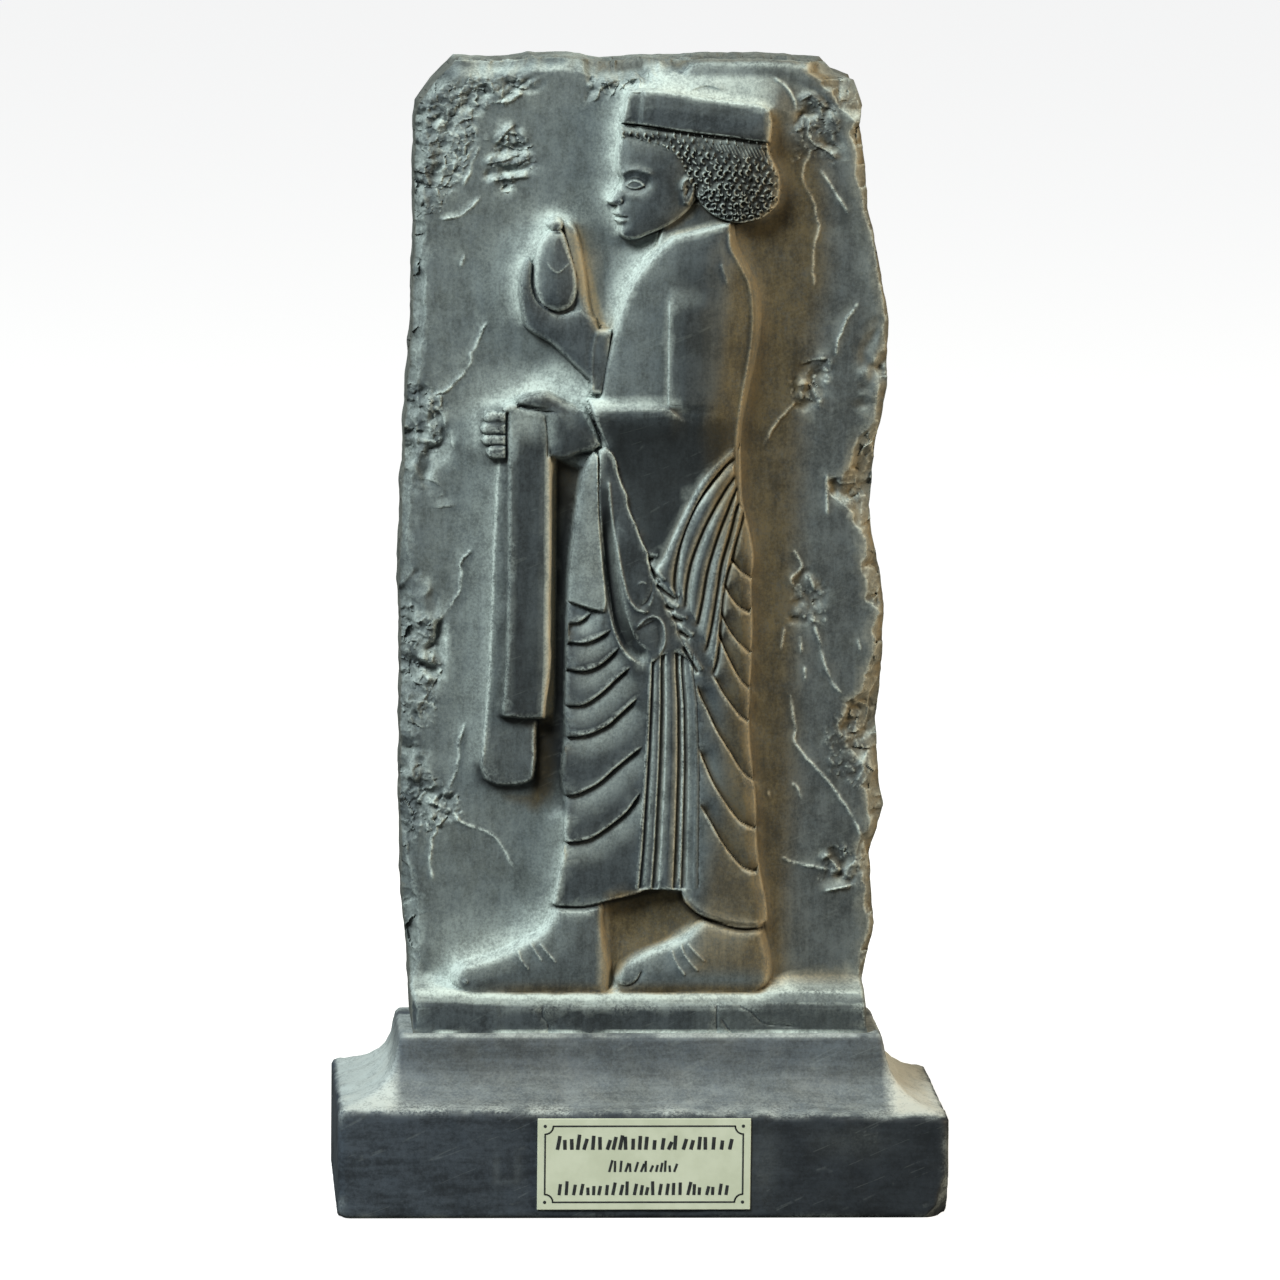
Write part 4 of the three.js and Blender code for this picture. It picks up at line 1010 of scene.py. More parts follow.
def carve_hands():
    raise_form(RAISED_ARM, 3.8, slope=1.2, crown=1.1, crown_reach=1.5)
    raise_form(FAR_FINGERS, 3.0, slope=1.8, crown=0.5, crown_reach=2)
    raise_form(CUFF, 4.4, slope=0.9, crown=0.3, crown_reach=1)
    raise_line([(-13.5, 204), (-13.8, 210), (-13.3, 216), (-12.3, 219.4)], 0.4, width=0.8)
    raise_form(PALM, 3.1, slope=1.0)
    raise_form(BOTTLE, 4.0, slope=1.1, crown=1.9, crown_reach=3)
    raise_form(STOPPER, 4.2, slope=1.2, crown=0.8, crown_reach=1)
    cut_line([(-24.6, 243.6), (-22.6, 243.4), (-21, 243.6)], 0.4, left=0.5, right=0.5)
    raise_line(BOTTLE_SCRATCH, 0.22, width=0.55)
    cut_line([(-28.6, 236), (-28.6, 231), (-27.5, 226.8), (-24.8, 224.4), (-21.7, 222.8), (-18.8, 223.6),
              (-17.2, 227)], 0.2, left=0.4, right=0.4)
    raise_form(TOWEL_BACK, 2.5, slope=1.6)
    raise_form(TOWEL_FRONT, 4.6, slope=1.8)
    raise_line([(-37, 188), (-37.6, 165), (-38, 150), (-38.4, 138), (-39.2, 124), (-40, 110)],
               0.3, width=0.8)
    cut_line([(-28.6, 198), (-29.2, 170), (-29.4, 140), (-29.6, 124)], 0.12, left=2.5, right=2.5)
    raise_line([(-27.3, 120), (-27.3, 107)], 0.3, width=0.7)
    raise_line([(-34.4, 122.8), (-32.8, 123.5), (-31, 123.1)], 0.3, width=0.8)
    raise_form(LOWER_HAND, 4.0, slope=2.4, crown=1.5, crown_reach=3)
    raise_form(KNUCKLE, 4.4, slope=1.0, crown=0.4, crown_reach=1)
    raise_form(THUMB, thumb_height, slope=1.8, crown=0.7, crown_reach=1.5)
    cut_line(THUMB_LINE, 0.9, left=0.3, right=0.8, start=0.8, end=5)
    cut_line([(-25.2, 198.4), (-24.6, 194.6), (-24.4, 187.6)], 0.7, left=0.9, right=0.3, start=1.5, end=0.5)
    for tip_x, tip_z, tall in FINGERS:
        top, foot = tip_z + tall * 0.55, tip_z - tall * 0.5
        finger = outline_of(
            [(FINGER_ROOT_X, top), (tip_x + 2, top), (tip_x + 0.6, tip_z + tall * 0.4), (tip_x, tip_z),
             (tip_x + 0.7, tip_z - tall * 0.4), (tip_x + 2.2, foot)],
            [(FINGER_ROOT_X, foot)])
        raise_form(finger, 3.8, slope=0.9, crown=0.9, crown_reach=0.8)
    cut_line([(-34.7, 199), (-34.7, 194), (-34.6, 187)], 0.4, left=0.4, right=0.5, start=0.3, end=0.3)
    cut_line([(-15.4, 201.6), (-13.6, 198), (-12.2, 194.8), (-10.6, 190.6)], 0.5, left=0.4, right=0.5)


def carve_feet():
    raise_form(FRONT_FOOT, 4.3, slope=3.4, crown=1.5, crown_reach=4)
    raise_form(REAR_FOOT, 4.3, slope=3.4, crown=1.5, crown_reach=4)
    for hem in ROBE_HEMS:
        cut_line(hem, 1.1, left=0.5, right=1.1, start=0.4, end=0.4, power=1.2)
    raise_line([(11.6, 77), (14.8, 74.4), (19.6, 72.4), (25, 71.2), (29.6, 71)], 0.35, width=1.4)
    for lace in LACES:
        raise_line(lace, 0.4, width=0.7, start=0.3, end=0.5)
    cut_line([(-5.4, 55), (-3.2, 54.9), (-1, 56.4), (0.4, 59)], 0.6, left=0.4, right=1.2, start=0.5, end=1)
    raise_line([(-44.4, 56), (-43.2, 56.2)], 0.4, width=1.2, start=0.1, end=0.1)


def carve_face():
    raise_form(FACE, 4.1, slope=1.3, crown=2.0, crown_reach=2.6)
    socket = offset(EYE_MIDDLE, (-3.4, -0.6), (-1.6, 1.5), (2.4, 1.7), (3.8, 0), (1.4, -1.9), (-2, -2))
    swell(outline_of(socket), -0.65, 1.8)
    half, high = EYE_LENGTH / 2, EYE_HEIGHT
    front, back = (-half, -0.35), (half, -0.15)
    upper = offset(EYE_MIDDLE, front, (-half * 0.45, high * 0.42), (half * 0.2, high * 0.5), back)
    lower = offset(EYE_MIDDLE, back, (half * 0.2, -high * 0.5), (-half * 0.45, -high * 0.48), front)
    swell(outline_of(upper, lower), 0.45, 0.7)
    raise_line(upper, 0.5, width=0.6, start=0.3, end=0.3)
    lid_fold = offset(EYE_MIDDLE, (0.3 - half, 0.9), (0, high * 0.5 + 0.9), (half + 0.4, 0.7))
    raise_line(lid_fold, 0.25, width=0.6, start=0.6, end=0.6)
    raise_line(lower, 0.35, width=0.5, start=0.3, end=0.3)
    brow, nose, mouth = (FACE_FRONT, BROW), (FACE_FRONT, NOSE_FOOT), (FACE_FRONT, MOUTH)
    raise_line(offset(brow, (0.8, -0.3), (4, 0.9), (9, -0.3)), 0.55, width=1.3, start=0.8, end=2)
    cut_line(offset(nose, (0.9, 2.5), (1.7, 1.4), (1.1, 0.3)), 0.5, left=1.6, right=0.5, start=0.8, end=0.5)
    raise_line(offset(nose, (0.2, 1.7), (0.9, 1.2), (0.3, 0.6)), 0.3, width=0.9, start=0.3, end=0.3)
    lips = offset(mouth, (-0.4, 0), (1.4, 0.05), (3, -0.1))
    cut_line(lips, 0.7, left=0.45, right=0.5, start=0.1, end=0.8)
    raise_line(offset(mouth, (0, 0.8), (1.4, 0.7), (2.6, 0.3)), 0.3, width=0.8, start=0.3, end=0.8)
    raise_line(offset(mouth, (0.3, -0.9), (1.4, -0.9), (2.4, -0.5)), 0.35, width=0.9, start=0.3, end=0.8)
    cut_line(offset(mouth, (0.4, -2.2), (2.4, -2.1)), 0.3, left=0.9, right=0.9, start=0.2, end=1)
    ear = (EAR_MIDDLE_X, NOSE_FOOT)
    rim = offset(ear, (-1.1, 4.2), (-0.7, 6.2), (0.6, 7.2), (1.9, 6.4), (2.1, 4.6))
    lobe = offset(ear, (1.6, 2.4), (0.6, 0.6), (-0.6, 1.0), (-1.0, 2.4))
    swell(outline_of(rim + lobe), 0.5, 0.8)
    raise_line(rim + lobe[:3], 0.5, width=0.9, start=0.3, end=0.3)
    cut_line(offset(ear, (-0.1, 5.2), (0.8, 4.4), (0, 2.6)), 0.7, left=0.7, right=0.7, start=0.4, end=0.4)


def carve_curls():
    """Rows of small snail curls, each a raised ring, over the hair."""
    part, inside = distances(HAIR, 1, closed=True)
    x, z = grid_x[part], grid_z[part]
    chance = np.random.default_rng(7)
    relief = np.zeros_like(x)
    for row in range(int(CURLS_HEIGHT / CURL_ROW_PITCH)):
        for step in range(int(CURLS_WIDTH / CURL_PITCH)):
            column = step + 0.5 * (row % 2)
            middle_x = CURLS_LEFT + column * CURL_PITCH + chance.uniform(-0.3, 0.3)
            middle_z = CURLS_LOW + row * CURL_ROW_PITCH + chance.uniform(-0.3, 0.3)
            opening, size = chance.uniform(-np.pi, np.pi), chance.uniform(0.8, 1.25)
            top, bottom = np.searchsorted(z[:, 0], (middle_z - CURL_REACH, middle_z + CURL_REACH))
            left, right = np.searchsorted(x[0], (middle_x - CURL_REACH, middle_x + CURL_REACH))
            if left >= right or top >= bottom:
                continue
            near = (slice(top, bottom), slice(left, right))
            off_x, off_z = x[near] - middle_x, z[near] - middle_z
            from_ring = np.hypot(off_x, off_z) - CURL_RADIUS * size
            turn = np.cos(np.arctan2(off_z, off_x) - opening)
            ring = np.exp(-(from_ring / CURL_THICKNESS) ** 2) * np.clip(1.3 + 1.2 * turn, 0.1, 1)
            relief[near] = np.maximum(relief[near], ring)
    on_hair = eased((inside - 0.1) / 0.8)
    proud[part] += (CURL_HEIGHT * relief - 0.3) * on_hair


def hatch_hair():
    """The strip under the headdress, where slanting strokes take the place of the curls."""
    part, inside = distances(HATCHED_HAIR, 1, closed=True)
    x, z = grid_x[part], grid_z[part]
    turns = (x + 0.5 * z) / HATCH_PITCH
    strokes = 0.5 + 0.5 * np.sin(turns * 2 * np.pi + 0.8 * cloud(x, 0 * x, z, 1.5, 21))
    hatched = eased(inside / 0.6)
    level = blurred(proud[part], 4)
    proud[part] = proud[part] * (1 - hatched) + (level + 0.28 * (strokes - 0.5)) * hatched


def carve_head():
    raise_form(NECK, 3.4, slope=1.4)
    carve_face()
    raise_form(HAIR, 4.9, slope=1.0, crown=1.2, crown_reach=3.5)
    carve_curls()
    hatch_hair()
    raise_form(HEADDRESS, 5.9, slope=1.1, crown=0.5, crown_reach=4)
    cut_line([(-7.2, 270.2), (-0.5, 269.6), (9.9, 268), (20.2, 266.8), (29.6, 265.6)],
             0.35, left=0.2, right=0.5, start=0.3, end=0.3)
    swell(outline_of([(-8, 270), (-6, 280)], [(-1.6, 280), (-2.6, 269)]), -0.6, 1.4)


carve_body()
carve_robe()
carve_sleeve()
carve_hem()
carve_hands()
carve_feet()
carve_head()

# The ground rises in a soft dish toward the figure, except in the deep trench behind the towel
TRENCH = outline_of([(-22.2, 187), (-22.4, 140), (-22.6, 122), (-26, 121), (-26.4, 104), (-23, 98)],
                    [(-20, 100), (-19.6, 130), (-19.3, 160), (-16.6, 184)])
ABOVE_HAT = outline_of([(0, 276), (4, 281), (18, 282), (31, 279.4), (35, 273)], [(30, 272), (8, 274)])
figure = np.clip(proud / 4, 0, 1)
cells_per_mm = 1 / PLAIN_CELL
apron = 1.6 * blurred(figure, 1.6 * cells_per_mm) + 2.0 * blurred(figure, 5.0 * cells_per_mm)
trench_part, trench_inside = distances(TRENCH, 4, closed=True)
apron[trench_part] *= 1 - eased(trench_inside / 2 + 0.9)
hat_part, hat_inside = distances(ABOVE_HAT, 6, closed=True)
apron[hat_part] += 1.5 * eased(hat_inside / 6 + 0.5)
proud = np.maximum(proud, apron * (1 - figure ** 2))
proud[hat_part] = np.maximum(proud[hat_part], apron[hat_part] * eased(hat_inside / 2 + 1))
trench_end = eased((grid_z[trench_part] - 97) / 16)
proud[trench_part] -= 1.4 * eased(trench_inside / 0.8) * (1 - figure[trench_part]) * trench_end
proud = np.maximum(proud, carve_step())

# Veins, scratches and chips of the ground
VEINS = (
    ((-39.4, 275.3), (-34.6, 275.8), (-31.4, 277.4), (-27.6, 277.9)),
    ((-51.1, 246.5), (-45.4, 248), (-41.5, 252)), ((-46.5, 234.4), (-45.1, 237.9)),
    ((-39.8, 221.2), (-42.9, 214), (-44.4, 209.3), (-49, 204.5),
                                       (-53.7, 201.7)),
    ((40.3, 264.3), (38.2, 257.1), (41.3, 250.9), (42.3, 244.5), (41.2, 238.2), (41.5, 230.3)),
    ((42.9, 259.1), (46.2, 254.2), (49.7, 248.2)), ((31.2, 281.6), (34.7, 278.6), (36.7, 273.7)),
    ((52.5, 226.3), (48.9, 220.1), (47, 212.8)), ((37.2, 201.6), (33.3, 196.8), (29.3, 190.5)),
    ((-42.8, 164.3), (-45.5, 161), (-45.9, 153.5), (-51.1, 146.2), (-51.8, 142.2)),
    ((45.1, 183.3), (45.5, 172.8)), ((37.6, 164.7), (39.5, 160), (37.3, 157.8), (36.6, 156), (39.3, 152.7)),
    ((42.7, 145.3), (44.8, 137.9), (47.5, 130.8), (49.8, 128.2)),
    ((37.2, 128.4), (38.2, 120), (38.4, 115.6), (45.7, 107), (51.3, 99.7), (55.4, 92.3)),
    ((-44.2, 120.6), (-45.7, 115.8), (-46.1, 110), (-48.3, 103.6)),
    ((-47.3, 98), (-45.8, 96.2), (-42, 94.5), (-37.2, 92.4), (-34, 88), (-31.2, 84)),
    ((-50.2, 96), (-52.7, 89), (-52.1, 80.9)), ((35.3, 86.8), (40, 85), (49.2, 83.5)),
    ((46, 78.1), (53.3, 79.9)), ((31.7, 104), (32.3, 102)), ((35, 145), (34.5, 139)),
    ((39, 143), (39.7, 138)), ((40.5, 135), (40.5, 131)), ((53.5, 142), (54.5, 138.5)),
    ((37.5, 106), (39, 104.5), (40, 101.5)), ((-42, 264.5), (-43.5, 260), (-45.5, 254.5)),
    ((-12.6, 214.3), (-12.6, 214.8)), ((0.4, 204.8), (0.6, 205.3)), ((-21.5, 263.8), (-21.4, 264.4)),
    ((-22, 259.3), (-22, 259.8)), ((-38.5, 248.8), (-38.4, 249.4)),
)
# The sharper ridges of the chips: their places and heights
RIDGES = (
    (((-38, 264.5), (-35, 268.5), (-32.5, 270.3)), 0.9), (((-33, 269), (-30.5, 266.5), (-30, 264.5)), 0.8),
    (((-41.5, 266.3), (-38.5, 266)), 0.7), (((-41, 260), (-35, 261.4), (-30, 263.5)), 0.9),
    (((-37, 259.6), (-32, 260.6), (-28, 262.5)), 0.7), (((-39, 256), (-31, 257), (-28.5, 257)), 0.9),
    (((-15, 275.5), (-13, 276.5), (-12, 279), (-9, 281), (-5, 283.5)), 0.8),
    (((-8, 281), (-6, 279.2), (-5, 278.6), (0, 279)), 0.8), (((36.7, 275.5), (39, 277.2), (41, 278)), 0.8),
    (((40, 273), (39.5, 268), (41, 265.5), (44, 264), (47, 261.5)), 0.9),
    (((38, 210.5), (42, 212), (46, 212)), 0.6),
    (((37, 204), (38, 205.5), (40, 206), (41.5, 204.5), (43.5, 199)), 0.8),
    (((36.5, 156), (38.5, 158.5)), 0.7), (((40, 158), (41.5, 156.5), (43, 153)), 0.8),
    (((39, 155), (39.5, 151)), 0.6), (((36, 150), (39, 149.5)), 0.6), (((35.5, 145), (38.5, 146)), 0.6),
    (((50.5, 89), (53.5, 87)), 0.7), (((46, 88), (48, 85.5), (50, 83)), 0.8),
    (((46, 78.3), (50, 79), (54, 80)), 0.6), (((-53, 200), (-50.5, 198), (-49.5, 194), (-47, 188.5)), 0.7),
    (((-57, 182), (-53, 181.5), (-50, 179.5)), 0.6), (((-52, 177), (-49, 178.5)), 0.5),
    (((-53, 174.5), (-46, 175.5)), 0.5), (((-59.5, 145.5), (-53, 141.5)), 0.7),
    (((-57.5, 157.5), (-54, 157.5)), 0.6), (((-54, 95.5), (-52, 97), (-50.5, 96.5), (-50.5, 94)), 0.8),
    (((-55, 101), (-52, 100), (-48.6, 99)), 0.8), (((-58, 128), (-54, 134), (-51, 140)), 0.7),
    (((-57, 123), (-53, 129), (-49.6, 135)), 0.7), (((9, 278.4), (14, 279.8), (19, 278.6)), 0.5),
)
# The larger chips: each one's outline, its depth, and the size of the broken facets in it
CHIPS = (
    ([(-41.6, 257), (-39, 262), (-37.6, 266), (-33.4, 270.2), (-30, 266), (-30.4, 262), (-29, 260.4),
      (-32, 257), (-34.6, 253.4), (-38, 254)], 1.2, 2.6),
    ([(-48, 274), (-43, 279.6), (-28, 281.4), (-27, 277.6), (-38, 275.4), (-44, 271)], 0.9, 2.2),
    ([(-14.6, 276.6), (-10, 279.4), (-5.4, 279.2), (1, 281.4), (4, 284.8), (-16, 285)], 1.6, 2.6),
    ([(-61, 244), (-61, 268), (-56, 274), (-48, 272), (-50, 262), (-54, 252)], 1.3, 3.2),
    ([(-61, 184), (-61, 206), (-54, 205.6), (-50, 198), (-48, 190), (-53, 178)], 1.2, 2.8),
    ([(-61, 121), (-61, 160), (-53, 155), (-49, 141), (-50, 132), (-57, 124)], 1.5, 3.4),
    ([(-61, 83), (-61, 117), (-53, 114), (-55, 107), (-47.4, 104), (-47, 97), (-55, 94), (-57, 86)],
     1.3, 2.6),
    ([(35, 268), (38, 277), (42, 278), (47, 272), (49, 262), (44, 264)], 1.1, 2.4),
    ([(37, 200), (37, 208), (40, 213), (47, 212), (45, 204), (42, 199)], 0.9, 2.2),
    ([(36.4, 146), (37, 157), (41, 160), (45, 155), (45, 147), (40, 145)], 1.0, 2.4),
    ([(46, 82.7), (46, 88), (50, 89.6), (56, 86), (54, 80), (49, 81)], 1.0, 2.4),
    ([(52, 200), (53, 214), (56, 222), (61, 222), (61, 200)], 0.8, 2.6),
)
# Areas of small sharp pebbles left by the breaking
PEBBLED = (
    [(-59, 247), (-59, 270), (-50, 281), (-28, 282), (-32, 276), (-42, 271), (-45, 258), (-53, 248)],
    [(-41, 258), (-37, 267), (-31, 266), (-29, 259), (-35, 254)],
    [(-61, 186), (-61, 205), (-51, 202), (-52, 188)],
    [(-61, 118), (-61, 150), (-50, 140), (-53, 120)], [(-61, 92), (-61, 110), (-47, 104), (-46, 95)],
    [(-15, 276), (-14, 285), (2, 285), (0, 280)], [(36, 262), (38, 278), (48, 272), (46, 262)],
    [(36.5, 147), (37, 158), (45, 156), (45, 147)], [(37, 200), (37, 208), (46, 212), (45, 202)],
    [(45, 81), (46, 89), (57, 88), (56, 80)], [(46, 108), (46, 122), (56, 122), (56, 104)],
)
# Fine cracks down the step's upright front
STEP_CRACKS = (
    ((-24.4, 50.6), (-24.7, 47.6), (-23.4, 46.2), (-23, 43.4)), ((19, 50.6), (18.9, 46), (19.2, 43.4)),
    ((24.6, 50.2), (27.3, 48.9), (29.4, 46.9), (31.7, 45.7), (39.8, 45)),
    ((20.2, 46.9), (21.7, 44.6), (23.3, 43.4)),
)
# Where the broken edges slope back: heights, and there the slope's width and its depth
LEFT_BREAKS = ((43, 0.8, 0.8), (56, 1.4, 1.6), (62, 2.8, 3), (78, 2.4, 2.6), (86, 4, 3), (100, 3.5, 3),
               (118, 2.4, 2), (128, 3, 2.4), (145, 4, 3), (168, 1.4, 1.4), (180, 2, 2), (190, 4, 3),
               (206, 2.6, 2.4), (236, 2.6, 2.4), (250, 3.4, 2.8), (272, 2, 2), (280, 3, 3),
               (285.5, 3, 3))
RIGHT_BREAKS = ((43, 0.8, 0.8), (56, 0.8, 0.8), (63, 1.4, 1.6), (70, 1.6, 2), (78, 1.6, 2), (88, 3, 3.4),
                (97, 3, 3), (104, 4.4, 4), (112, 4.2, 4.6), (120, 7, 5), (126, 9, 5.4), (131, 6, 5),
                (137, 3, 3.6), (160, 3, 3.8), (166, 3.4, 4), (173, 5, 5), (181, 8, 5.6), (188, 5, 5),
                (196, 1.8, 2.4), (208, 3, 2.6), (218, 1.4, 1.4), (240, 0.9, 1), (249, 1.2, 1.6),
                (258, 2, 3), (269, 3.4, 4), (271, 1, 1), (274, 4, 4.4), (281, 7, 6), (285.5, 8, 7))
# The same along the top: places across, and the slope's width there
TOP_BREAKS = (
    (-50, 2.6), (-44, 3), (-38, 3), (-16, 1.8), (-13, 4), (-1, 4.6), (8, 2.4), (12, 0.9), (43, 0.9),
    (52, 3),
)


def break_edges():
    """The slab's broken edges: slopes that fall back to the sides and the top, in rock facets."""
    fall = np.zeros_like(proud)
    for breaks, apart in ((LEFT_BREAKS, grid_x - edge_left), (RIGHT_BREAKS, edge_right - grid_x)):
        heights, widths, depths = np.array(breaks, float).T
        ragged = np.clip(1 + 0.7 * rough(grid_x, 0 * grid_x, grid_z, 7, 71, 4), 0.35, 2)
        width = np.interp(grid_z, heights, widths) * ragged
        depth = np.interp(grid_z, heights, depths)
        share = np.clip(1 - apart / width, 0, 1)
        rock = facets(grid_x, grid_z, 5.2, 73) * 1.1 + facets(grid_x, grid_z, 2.0, 79) * 0.3
        rock = rock * np.minimum(share * 3, 1) * np.clip(depth / 3, 0, 1)
        fall = np.maximum(fall, depth * share ** 0.85 + rock)
    top_width = read_off(TOP_BREAKS, grid_x) * (1 + 0.35 * rough(grid_x, 0 * grid_x, grid_z, 5, 91))
    share = np.clip(1 - (SLAB_TOP - grid_z) / top_width, 0, 1)
    streaks = facets(grid_x * 1.6, grid_z * 0.5, 2.2, 93) * np.clip(top_width - 1, 0, 1)
    fall = np.maximum(fall, (2.2 * top_width + 1.5 * streaks) * share ** 0.8)
    return np.where(grid_z > SLAB_TOP - 4, blurred(fall, 1), fall)


chipped = np.zeros_like(proud)
for number, (chip, chip_depth, facet_size) in enumerate(CHIPS):
    chip_part, chip_inside = distances(outline_of(chip), 1.5, closed=True)
    chip_x, chip_z = grid_x[chip_part], grid_z[chip_part]
    ragged_edge = chip_inside + 0.7 * rough(chip_x, 0 * chip_x, chip_z, 3, 101 + number)
    broken = facets(chip_x, chip_z, facet_size * 1.5, 131 + number)
    broken = broken + 0.2 * facets(chip_x, chip_z, facet_size * 0.6, 151 + number)
    inner = eased(ragged_edge / 0.8)
    proud[chip_part] += blurred(chip_depth * (1.3 * broken - 0.2) * inner, 1)
    chipped[chip_part] = np.maximum(chipped[chip_part], inner)
for area in PEBBLED:
    pebble_part, pebble_inside = distances(outline_of(area), 3, closed=True)
    pebble_x, pebble_z = grid_x[pebble_part], grid_z[pebble_part]
    pebbles = facets(pebble_x, pebble_z, 2.0, 61) + 0.5 * facets(pebble_x, pebble_z, 1.1, 63)
    within = eased(0.5 + (pebble_inside + 1.6 * rough(pebble_x, 0 * pebble_x, pebble_z, 4, 67)) / 2)
    proud[pebble_part] += np.where(pebble_x > 0, 0.28, 0.5) * pebbles * within
    chipped[pebble_part] = np.maximum(chipped[pebble_part], 0.5 * within)
for ridge, ridge_height in RIDGES:
    cut_line(ridge, -0.8 * ridge_height, left=1.9, right=0.4, start=2.5, end=2.5, power=1.4)
unveined = proud.copy()
for vein in VEINS:
    raise_line(vein, 0.42, width=0.75, start=1.2, end=2.0, waver=0.35)
vein_strength = np.clip(0.8 + 0.6 * rough(grid_x, 0 * grid_x, grid_z, 2.5, 171), 0.2, 1.3)
proud = unveined + (proud - unveined) * vein_strength
on_veins = np.clip((proud - unveined) / 0.4, 0, 1)
proud -= break_edges() * np.clip((grid_z - 44) / 4, 0, 1)
proud += 0.08 * rough(grid_x, 0 * grid_x, grid_z, 16, 161)
proud += 0.04 * cloud(grid_x, 0 * grid_x, grid_z, 4, 167)
for crack in STEP_CRACKS:
    cut_line(crack, 0.35, left=0.35, right=0.35, start=0.3, end=0.3)


def make_slab_mesh():
    """The grid moved out to the carving, with its rim drawn back in rough steps to a plain back."""
    rows, columns = grid_x.shape
    slab = bmesh.new()
    bmesh.ops.create_grid(slab, x_segments=columns - 1, y_segments=rows - 1, size=0.5)
    slab.verts.ensure_lookup_table()
    flat_x, flat_z, flat_proud = grid_x.ravel(), grid_z.ravel(), proud.ravel()
    order = sorted(range(len(slab.verts)), key=lambda i: (round(slab.verts[i].co.y, 6), slab.verts[i].co.x))
    flat_z = flat_z + top_rise(flat_x, flat_z)
    for place, number in enumerate(order):
        slab.verts[number].co = (flat_x[place], GROUND_Y - flat_proud[place], flat_z[place])
    rim = [edge for edge in slab.edges if edge.is_boundary]
    for step in range(RIM_STEPS, 0, -1):
        drawn = bmesh.ops.extrude_edge_only(slab, edges=rim)["geom"]
        rim = [element for element in drawn if isinstance(element, bmesh.types.BMEdge)]
        for vertex in drawn:
            if isinstance(vertex, bmesh.types.BMVert):
                x, y, z = vertex.co
                back = -STEP_FRONT_Y if z < STEP_TOP - 0.5 else BACK_Y
                vertex.co.y = y + (back - y) / step
    bmesh.ops.contextual_create(slab, geom=rim)
    bmesh.ops.recalc_face_normals(slab, faces=slab.faces)
    mesh = bpy.data.meshes.new("relief_casting")
    slab.to_mesh(mesh)
    slab.free()
    places = places_of(mesh) * MM
    x, y, z = places.T
    behind = (np.arange(len(x)) >= rows * columns) * np.clip((z - 52) / 4, 0, 1)
    behind = behind * np.sin(np.pi * np.clip((y - GROUND_Y) / (BACK_Y - GROUND_Y), 0, 1))
    chunks = np.minimum(1.6 * facets(y, z, 7, 181) + 0.6 * rough(x, y, z, 4, 187) - 1, 0.15)
    lumps = np.minimum(1.4 * facets(x, y, 7, 191) + 0.5 * rough(x, y, z, 4, 193) - 0.8, 0.1)
    places[:, 0] += chunks * behind * np.clip(x - grid_x.mean(), -1, 1) * (abs(x) > 40)
    places[:, 2] += lumps * behind * (z > SLAB_TOP - 2)
    set_places(mesh, places)
    return mesh


def mask_at(values, x, z):
    """A grid value at any places on the slab's face."""
    left, right = along_edge(SLAB_LEFT_EDGE, z), along_edge(SLAB_RIGHT_EDGE, z)
    column = np.interp((x - left) / (right - left), across_shares, np.arange(len(across_shares)))
    row = np.interp(z, up_steps, np.arange(len(up_steps)))
    low_column = np.clip(np.floor(column).astype(int), 0, len(across_shares) - 2)
    low_row = np.clip(np.floor(row).astype(int), 0, len(up_steps) - 2)
    share_x, share_z = column - low_column, row - low_row
    below = values[low_row, low_column] * (1 - share_x) + values[low_row, low_column + 1] * share_x
    above = values[low_row + 1, low_column] * (1 - share_x) + values[low_row + 1, low_column + 1] * share_x
    return below * (1 - share_z) + above * share_z


def patch(outline, fade):
    """A mask over the whole grid: 1 within the outline, fading to 0 across its edge."""
    mask = np.zeros_like(proud)
    part, inside = distances(outline, fade, closed=True)
    mask[part] = eased(inside / fade + 0.5)
    return mask


def line_mask(points, width):
    """A mask over the whole grid: 1 on a line, fading over its width."""
    mask = np.zeros_like(proud)
    part, distance, _, _, _ = distances(curve_through(points), 2 * width)
    mask[part] = np.exp(-(distance / width) ** 2)
    return mask


